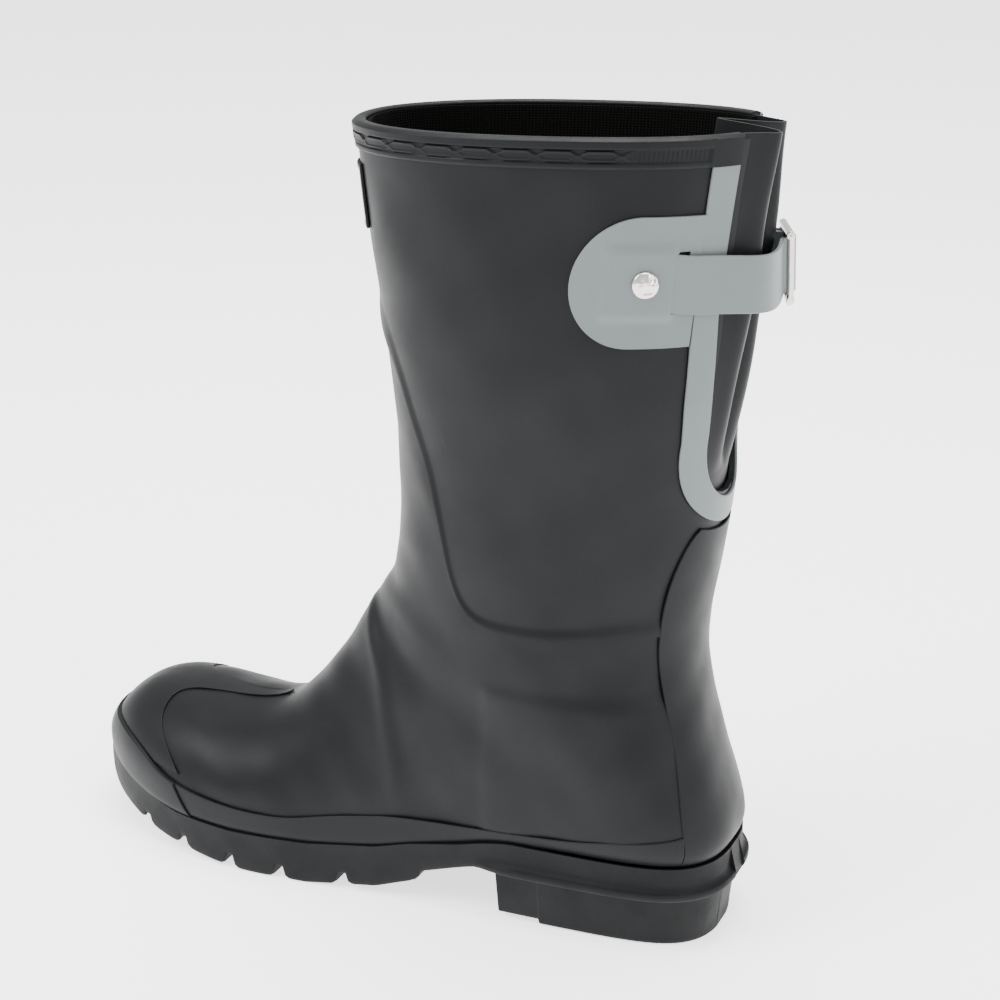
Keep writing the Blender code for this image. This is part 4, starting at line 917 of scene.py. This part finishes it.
def dome(name, side, seed, nodes):
    centre, normal = rivet_seat(side, STRAP_Z[side])
    turn, place = stiff_turn(centre)
    axis = Vector(turn @ normal)
    base = Vector(place) + axis * 2.75 * MM
    deselect()
    bpy.ops.mesh.primitive_uv_sphere_add(segments=64, ring_count=40, radius=DOME_RADIUS)
    head = bpy.context.object
    head.name = name
    rng = random.Random(seed)
    dents = [Vector((rng.uniform(-3.2, 3.2), rng.uniform(-3.2, 3.2), 0.0)) * MM for _ in range(11)]
    face = axis.to_track_quat("Z", "Y")
    for vert in head.data.vertices:
        p = vert.co.copy()
        flat = Vector((p.x, p.y, 0.0))
        height = max(p.z, -0.3 * MM)
        if p.z > 0.0:
            height = DOME_HEIGHT * (p.z / DOME_RADIUS) ** 0.75
            for dent in dents:
                gap = (flat - dent).length / (1.15 * MM)
                height -= 0.30 * MM * math.exp(-gap * gap) * min(1.0, 2.0 * p.z / DOME_RADIUS)
        vert.co = base + face @ (flat + Vector((0.0, 0.0, height)))
    head.data.shade_smooth()
    bm = bmesh.new()
    bm.from_mesh(head.data)
    bmesh.ops.remove_doubles(bm, verts=bm.verts, dist=1e-6)
    bmesh.ops.recalc_face_normals(bm, faces=bm.faces)
    bm.to_mesh(head.data)
    bm.free()
    return show(head, hammered, "nickel", *nodes)


dome("rivet_left_dome", 1, 4, ["rivet_left"])
dome("rivet_right_dome", -1, 9, ["rivet_right"])

# %% [markdown]
# ## Rand and toe rand
# The rand is the strip where the upper meets the sole. Its places are found with
# level rays from a spine inside the foot out to the skin, so its edges can follow
# stated heights. Small tables give those heights along the foot.

# %% Rays from the spine
SOLE_Y = (-134.0, -120.0, -102.0, -83.0, -58.0, -26.0, 2.0, 16.0, 43.0, 56.0, 140.0)
RAND_TOP_Y = (-134.0, -120.0, -108.0, -98.0, -86.0, -62.0, -37.0, -21.0, -2.0, 13.0, 45.0, 80.0, 97.0, 130.0)
RAND_TOP_Z = (39.4, 38.6, 36.1, 32.4, 28.7, 25.5, 25.5, 28.5, 32.0, 34.0, 36.5, 40.0, 43.0, 48.0)


def skin_tree():
    rows, cols = SKIN.shape[0], SKIN.shape[1]
    index = np.arange(rows * cols).reshape(rows, cols)
    faces = np.stack([index[:-1, :-1], index[:-1, 1:], index[1:, 1:], index[1:, :-1]], -1).reshape(-1, 4)
    return BVHTree.FromPolygons([Vector(p) for p in SKIN.reshape(-1, 3)], faces.tolist())


TREE = skin_tree()
HEEL_FAN_Y, TOE_FAN_Y = 90.0, -90.0


def spine_x(y):
    return float(np.interp(y, (-134.0, -115.0, -100.0, -83.0, -62.0, -10.0, 50.0, 90.0),
                           (-6.0, -5.0, -3.0, 0.0, 2.0, 3.0, 4.0, 5.0)))


def heel_ray(side, degrees):
    angle = math.radians(degrees)
    return (spine_x(HEEL_FAN_Y), HEEL_FAN_Y), (side * math.sin(angle), math.cos(angle))


def toe_ray(side, degrees):
    angle = math.radians(degrees)
    return (spine_x(TOE_FAN_Y), TOE_FAN_Y), (side * math.sin(angle), -math.cos(angle))


def side_ray(side, y):
    return (spine_x(y), y), (float(side), 0.0)


def wall_point(ray, z, out):
    """Where a level ray at height z leaves the skin, moved out along the plan normal."""
    (ox, oy), (dx, dy) = ray
    place, normal = TREE.ray_cast(Vector((ox, oy, z)), Vector((dx, dy, 0.0)))[:2]
    flat = Vector((normal.x, normal.y, 0.0)).normalized()
    if flat.dot(Vector((dx, dy, 0.0))) < 0.0:
        flat.negate()
    return np.array((place.x + flat.x * out, place.y + flat.y * out, z))


def bent(values, y):
    return float(np.interp(y, SOLE_Y, values))


def rand_low(y):
    """Where the rand meets the sole."""
    return bent((27.0, 23.5, 19.5, 16.5, 15.5, 16.5, 20.0, 24.0, 29.5, 30.4, 30.4), y)


def rand_high(y):
    return float(curve(RAND_TOP_Y, RAND_TOP_Z, y))


def rand_piece(name, stations, profile, material, *nodes):
    """A strip through stations; profile gives (share down, millimetres out)."""
    shares = np.array([p[0] for p in profile])
    top, bottom = [], []
    for station in stations:
        rows = ([], [])
        for share, out in profile:
            ray = station(share)
            y = wall_point(ray, 33.0, 0.0)[1]
            z = rand_high(y) + (rand_low(y) + 0.1 - rand_high(y)) * share
            rows[0].append(wall_point(ray, z, out))
            rows[1].append(wall_point(ray, z, 0.05))
        top.append(rows[0])
        bottom.append(rows[1])
    spot = np.stack(np.broadcast_arrays(np.arange(len(stations))[:, None] * 0.003,
                                        shares[None, :] * 0.012), -1)
    made = solid_between(name, stand(np.array(top)), stand(np.array(bottom)), spot, smooth_angle=50.0)
    bevel(made, 0.3, angle=50.0)
    print(name, len(made.data.polygons), "faces")
    return show(made, material, "black_rubber", *nodes)


SPLIT, SLANT = -80.0, 9.0


def side_station(side, y):
    near = max(0.0, 1.0 - abs(y - SPLIT) / 14.0)
    return lambda share: side_ray(side, y + SLANT * (share - 0.5) * near)


side_profile = [(s, 1.45 + 0.5 * s ** 2) for s in np.linspace(0.0, 1.0, 13)]
toe_profile = [(s, 2.1 + 0.5 * s) for s in np.linspace(0.0, 1.0, 13)]

# %% Side strips and the toe strip
for side, name in ((1, "rand_left"), (-1, "rand_right")):
    stations = [lambda share, a=a, s=side: heel_ray(s, a) for a in np.linspace(42.5, 90.0, 28)]
    stations += [side_station(side, y) for y in np.linspace(86.0, SPLIT + 0.05, 76)]
    rand_piece(name + "_strip", stations, side_profile, black, name)

stations = []
for side in (1, -1):
    half = [side_station(side, SPLIT - 0.05 - k * 2.0) for k in range(5)]
    half += [lambda share, a=a, s=side: toe_ray(s, a) for a in np.linspace(90.0, 0.0, 46)]
    stations += half if side > 0 else half[-2::-1]
rand_piece("toe_rand_strip", stations, toe_profile, black, "toe_rand")

# %% [markdown]
# The toe cap is a thin overlay from the toe rand up over the toes. Its rear edge
# runs up into a tongue in the middle, and its front edge stops just above the toe rand.

# %% Toe cap
CAP_T = (0.0, 0.02, 0.04, 0.065, 0.10, 0.17, 0.28, 0.37, 0.47)
CAP_U = (15.3, 15.5, 16.4, 17.2, 17.7, 18.0, 17.95, 17.58, 17.00)
columns = np.linspace(0.535, 1.465, 121)
rows_u, rows_t = [], []
for t in columns:
    wrapped = t if t <= 1.0 else t - 2.0
    first = float(curve(CAP_T, CAP_U, abs(t - 1.0)))
    tries = np.linspace(first + 0.05, 21.5, 180)
    points = grid_at(SKIN, tries, np.full(180, wrapped))
    above = points[:, 2] > np.array([rand_high(y) + 0.25 for y in points[:, 1]])
    last = tries[above][-1] if above.any() else first + 0.06
    rows_u.append(np.linspace(first, last, 26))
    rows_t.append(np.full(26, wrapped))
cap_u, cap_t = np.array(rows_u), np.array(rows_t)
toe_cap = layer("toe_cap_overlay", cap_u, cap_t, 0.65, 0.05, round_edges=0.3)
show(toe_cap, black, "black_rubber", "toe_cap")

# %% [markdown]
# ## Sole
# The outsole is a cup under the foot with a raised edge, blocks of tread under the
# forefoot, and a thin flange over the heel. Its plan outline comes from the same
# rays, a little outside the rand. Rows run across the foot, closer together where
# a lug starts or stops, so each lug has a short slope and a rounded edge.

# %% The outline in plan
def plan_edge(height, grow, count=30):
    """Left and right plan outlines as (y, x) tables, at height(y)."""
    edges = {}
    for side in (1, -1):
        rays = [heel_ray(side, 90.0 * k / count) for k in range(count)]
        rays += [side_ray(side, y) for y in np.linspace(HEEL_FAN_Y, TOE_FAN_Y, 70)]
        rays += [toe_ray(side, 90.0 * (1 - k / count)) for k in range(1, count + 1)]
        line = []
        for ray in rays:
            p = wall_point(ray, height(ray[0][1] + 40.0 * ray[1][1]), grow)
            line.append((p[1], p[0]))
        edges[side] = np.array(sorted(line))
    return edges


def edge_x(edges, side, y):
    return float(np.interp(y, edges[side][:, 0], edges[side][:, 1]))


def plate_low(y):
    return bent((20.0, 14.5, 9.5, 7.4, 5.2, 5.0, 7.6, 12.0, 21.0, 21.0, 21.0), y)


def lug_low(y):
    return bent((17.0, 11.0, 6.0, 3.4, 0.0, 0.0, 3.4, 8.5, 20.0, 21.0, 21.0), y)


LUG_GAP, LIP_STARTS = 4.0, (34.0, 58.0)
LUG_ENDS = (-130.0, -100.5, -80.5, -58.5, -37.0, -11.5, 22.0)
lugs = [(front + LUG_GAP / 2, back - LUG_GAP / 2) for front, back in zip(LUG_ENDS, LUG_ENDS[1:])]
edges = plan_edge(lambda y: rand_low(y) + 4.0, 2.2)
ends = edges[1][0, 0] + 0.06, edges[1][-1, 0] - 0.06
rows_y = set(np.round(np.linspace(ends[0], ends[1], 110), 2))
for low, high in lugs:
    for edge_y in (low - 0.5, low + 0.5, low + 1.1, low + 1.8,
                   high - 1.8, high - 1.1, high - 0.5, high + 0.5):
        rows_y = {y for y in rows_y if abs(y - edge_y) > 0.45} | {edge_y}
turn = np.linspace(0.0, math.pi / 2.0, 16)
near_toe = ends[0] + 9.0 * (1.0 - np.cos(turn))
near_heel = ends[1] - 9.0 * (1.0 - np.cos(turn))
rows_y = sorted(y for y in rows_y | set(near_toe) | set(near_heel) if ends[0] <= y <= ends[1])
rows_y = [y for k, y in enumerate(rows_y) if k == 0 or y - rows_y[k - 1] > 0.03]

# %% Rows of the outsole
SHARES = (0.0, 0.028, 0.04, 0.08, 0.12, 0.20, 0.28, 0.30, 0.315, 0.36, 0.455, 0.47, 0.50,
          0.53, 0.545, 0.64, 0.685, 0.70, 0.72, 0.80, 0.88, 0.92, 0.96, 0.972, 1.0)


def is_groove(share):
    return 0.305 < share < 0.46 or 0.54 < share < 0.695


def side_profile_at(flare, tall):
    """(outward, height above the underside) down the sole's side wall."""
    lip = np.array([(0.0, tall - 0.7), (0.10, 5.6), (0.45, 4.3), (1.3, 3.3),
                    (2.2, 2.9), (2.6, 2.1), (2.5, 0.8), (1.9, 0.05)])
    plain = np.array([(0.0, tall - 0.7), (0.05, tall * 0.72), (0.15, tall * 0.5), (0.20, tall * 0.3),
                      (0.15, 1.7), (0.0, 0.9), (-0.4, 0.28), (-1.1, 0.0)])
    return plain + (lip - plain) * flare


def plan_normal(side, y):
    """Outward direction of the plan outline at y."""
    low, high = max(y - 0.7, ends[0]), min(y + 0.7, ends[1])
    slope = (edge_x(edges, side, high) - edge_x(edges, side, low)) / (high - low)
    way = np.array((side, -side * slope))
    return way / np.linalg.norm(way)


top, bottom = [], []
for y in rows_y:
    flare = float(smooth(y, *LIP_STARTS))
    left, right = edge_x(edges, 1, y), edge_x(edges, -1, y)
    in_lug = any(low < y < high for low, high in lugs)
    from_edge = min([min(y - low, high - y) for low, high in lugs if low < y < high] + [9.0])
    rounded = 0.0 if from_edge == 9.0 else 1.1 * float(1.0 - smooth(from_edge, 0.3, 2.4))
    clear = float(np.interp(y, (-134.0, -90.0, -60.0, 20.0, 50.0), (2.0, 1.6, 1.2, 1.4, 2.0)))
    cap = rand_low(y) + 0.4 + 2.3 * flare
    near_end = max(0.0, 1.0 - (ends[1] - y) / 6.0) ** 2 * 1.9
    wall_low = lug_low(y) + rounded if in_lug else plate_low(y)
    sides = {}
    for side, edge in ((-1, right), (1, left)):
        way = plan_normal(side, y)
        sides[side] = [(edge + way[0] * out, y + way[1] * out, wall_low + high)
                       for out, high in side_profile_at(flare, cap - wall_low)]
    top_row, bottom_row = [], []
    for k, low in enumerate(sides[-1]):
        top_row.append((right + 0.0006 * k * (left - right) + 0.002 * k, y, cap))
        bottom_row.append(low)
    for share in SHARES[1:-1]:
        x = right + (left - right) * share
        hit = TREE.ray_cast(Vector((x, y, -20.0)), Vector((0.0, 0.0, 1.0)))[0]
        z_top = cap if hit is None else min(hit.z - clear, cap)
        z_low = lug_low(y) + rounded if in_lug and not is_groove(share) else plate_low(y)
        top_row.append((x, y, max(z_top, z_low + 0.9)))
        bottom_row.append((x, y + near_end, z_low))
    for k, low in reversed(list(enumerate(sides[1]))):
        top_row.append((left - 0.0006 * k * (left - right) - 0.002 * k, y, cap))
        bottom_row.append(low)
    top.append(top_row)
    bottom.append(bottom_row)
top, bottom = np.array(top), np.array(bottom)
spot = top[..., :2] * MM
outsole = solid_between("outsole_tread", stand(top), stand(bottom), spot, smooth_angle=38.0)
bevel(outsole, 0.5, segments=2, angle=48.0)
show(outsole, tread, "tread_rubber", "outsole")
print("outsole", len(outsole.data.polygons), "faces")

# %% [markdown]
# ## Heel block
# The heel is a tapered block. Its front part stands a little off the ground, and
# cross grooves cut its underside. Rows and columns close together make the groove walls steep, and a
# bevel rounds them.

# %% Heel block
heel_edges = plan_edge(lambda y: 34.5, 0.3)
heel_back = heel_edges[1][-1, 0] - 0.12
HEEL_FRONT, HEEL_GROOVES = 50.0, ((66.0, 69.5), (84.0, 87.0), (101.0, 104.0))
HEEL_TOP_Z, GROOVE_Z, FRONT_Z = 21.2, 3.4, 1.8
ys = list(np.linspace(HEEL_FRONT, 100.0, 30)) + list(np.linspace(100.5, heel_back - 6.0, 20))
ys += list(heel_back - 6.0 * (1.0 - np.sin(np.linspace(0.0, math.pi / 2.0, 20))))
for low, high in HEEL_GROOVES:
    for edge_y in (low, low + 0.6, high - 0.6, high):
        ys = [y for y in ys if abs(y - edge_y) > 0.5] + [edge_y]
ys = sorted(set(round(y, 3) for y in ys))
heel_shares = (0.0, 0.004, 0.02, 0.06, 0.16, 0.168, 0.3, 0.5, 0.7, 0.832, 0.84, 0.94, 0.98, 0.996, 1.0)
top, bottom = [], []
for y in ys:
    left, right = edge_x(heel_edges, 1, y), edge_x(heel_edges, -1, y)
    middle, half = (left + right) / 2, (left - right) / 2
    in_groove = any(low + 0.5 < y < high - 0.5 for low, high in HEEL_GROOVES)
    squeeze = 1.0 - 0.06 * float(np.interp(y, (HEEL_FRONT, heel_back), (0.6, 1.0)))
    y_low = HEEL_FRONT + (y - HEEL_FRONT) * 0.965 + 0.8
    top_row, bottom_row = [], []
    for share in heel_shares:
        z_low = GROOVE_Z if in_groove and 0.165 < share < 0.835 else 0.0
        if y < HEEL_GROOVES[0][0] + 0.5:
            z_low = FRONT_Z
        offset = half * (2 * share - 1)
        z_low += {0.0: 2.4, 0.004: 1.3, 0.02: 0.4}.get(round(min(share, 1.0 - share), 3), 0.0)
        top_row.append((middle + offset, y, HEEL_TOP_Z))
        bottom_row.append((middle + offset * squeeze, y_low, z_low))
    top.append(top_row)
    bottom.append(bottom_row)
top, bottom = np.array(top), np.array(bottom)
heel = solid_between("heel_block_moulded", stand(top), stand(bottom), top[..., :2] * MM, smooth_angle=35.0)
bevel(heel, 0.55, segments=3, angle=30.0)
show(heel, tread, "tread_rubber", "heel_block")
print("heel", len(heel.data.polygons), "faces")

# %% [markdown]
# ## Inside and hidden pieces
# The sockliner is a foam pad with a fabric face. Its solid is copied, its triangles
# are welded, and a wide Bevel rolls its edges over softly. The hidden
# stiffeners, the shank and the washers stay as their own CAD nodes with a finish.

# %% Sockliner
def merged_copy(node, name):
    """A copy of a CAD node with its loose triangles welded."""
    source = frame[node] if node in frame else bpy.data.objects[node]
    copy = bpy.data.objects.new(name, source.data.copy())
    copy.matrix_world = source.matrix_world.copy()
    bpy.context.collection.objects.link(copy)
    bm = bmesh.new()
    bm.from_mesh(copy.data)
    bm.transform(copy.matrix_world)
    bmesh.ops.remove_doubles(bm, verts=bm.verts, dist=2e-6)
    bmesh.ops.join_triangles(bm, faces=bm.faces, angle_face_threshold=0.3, angle_shape_threshold=0.8)
    bm.to_mesh(copy.data)
    bm.free()
    copy.matrix_world = Matrix.Identity(4)
    return copy


pad = merged_copy("sockliner", "sockliner_pad")
bevel(pad, 1.4, segments=3, angle=50.0)
pad.data.shade_smooth()


def foam_fabric():
    material, tree, shader = new_material("foam_fabric", (0.03, 0.03, 0.032), 0.95, sheen=0.3)
    link(tree, ramp(tree, noise(tree, 1400.0, 4.0), (0.018, 0.018, 0.020), (0.050, 0.049, 0.050)),
         shader.inputs["Base Color"])
    bump(tree, shader, ((noise(tree, 1600.0, 4.0), 0.7, 0.0003),))
    return material


foam = foam_fabric()
show(pad, foam, "foam", "sockliner")

# %% Finishes for the CAD nodes that stay
STAY = {"heel_stiffener": board, "instep_reinforcement": board, "toe_puff": board, "insole_board": board,
        "shank": steel, "rivet_washer_left": steel, "rivet_washer_right": steel, "loop_rivet": nickel}
for node, material in STAY.items():
    target = bpy.data.objects[node]
    target.data.materials.clear()
    target.data.materials.append(material)
print("kept nodes", len(STAY))

# %% [markdown]
# ## Floor, light and camera
# The boot stands on a wide, flat, pale floor that glows a little, so it stays light
# round the soles. Two soft panels and a top panel light the boot, and a white world
# fills the shadows, as in a shoe studio.

# %% Floor
deselect()
bpy.ops.mesh.primitive_plane_add(size=14.0, location=(0.0, 0.0, 0.0))
floor = bpy.context.object
floor.name = "studio_floor"
floor_material, _, floor_shader = new_material("pale_floor", (0.90, 0.90, 0.90), 0.7)
floor_shader.inputs["Emission Color"].default_value = (1.0, 1.0, 1.0, 1.0)
floor_shader.inputs["Emission Strength"].default_value = 1.8
floor.data.materials.append(floor_material)

world = bpy.data.worlds.new("studio") if bpy.context.scene.world is None else bpy.context.scene.world
bpy.context.scene.world = world
world.use_nodes = True
background = world.node_tree.nodes["Background"]
background.inputs["Color"].default_value = (1.0, 1.0, 1.0, 1.0)
background.inputs["Strength"].default_value = 1.15


def panel(name, place, target, size, power):
    data = bpy.data.lights.new(name, "AREA")
    data.shape, data.size, data.size_y, data.energy = "RECTANGLE", size[0], size[1], power
    lamp = bpy.data.objects.new(name, data)
    lamp.location = place
    lamp.rotation_euler = (Vector(target) - Vector(place)).to_track_quat("-Z", "Y").to_euler()
    bpy.context.collection.objects.link(lamp)
    return lamp


panel("key_panel", (0.9, -0.9, 1.3), (0.0, 0.0, 0.14), (0.8, 0.8), 30.0)
panel("side_panel", (0.5, 1.5, 0.9), (0.0, 0.0, 0.14), (0.6, 1.0), 14.0)
panel("top_panel", (-0.2, 0.0, 1.5), (0.0, 0.0, 0.1), (1.0, 1.0), 34.0)

# %% Camera
AZIMUTH, ELEVATION, DISTANCE = math.radians(113.66), math.radians(20.12), 0.800
back = Vector((math.sin(AZIMUTH) * math.cos(ELEVATION), -math.cos(AZIMUTH) * math.cos(ELEVATION),
               math.sin(ELEVATION)))
right = Vector((0.0, 0.0, 1.0)).cross(back).normalized()
up = back.cross(right)
camera_data = bpy.data.cameras.new("camera")
camera_data.lens, camera_data.sensor_width = 78.0, 36.0
camera = bpy.data.objects.new("camera", camera_data)
centre = Vector((0.0, 0.0, 0.140)) - Vector(tuple(ORIGIN * MM))
camera.location = centre + right * 0.03227 + up * 0.00350 + back * DISTANCE
camera.rotation_euler = Matrix((right, up, back)).transposed().to_euler()
bpy.context.collection.objects.link(camera)
bpy.context.scene.camera = camera
print("camera at", [round(v, 3) for v in camera.location])

# %% Import json
import json
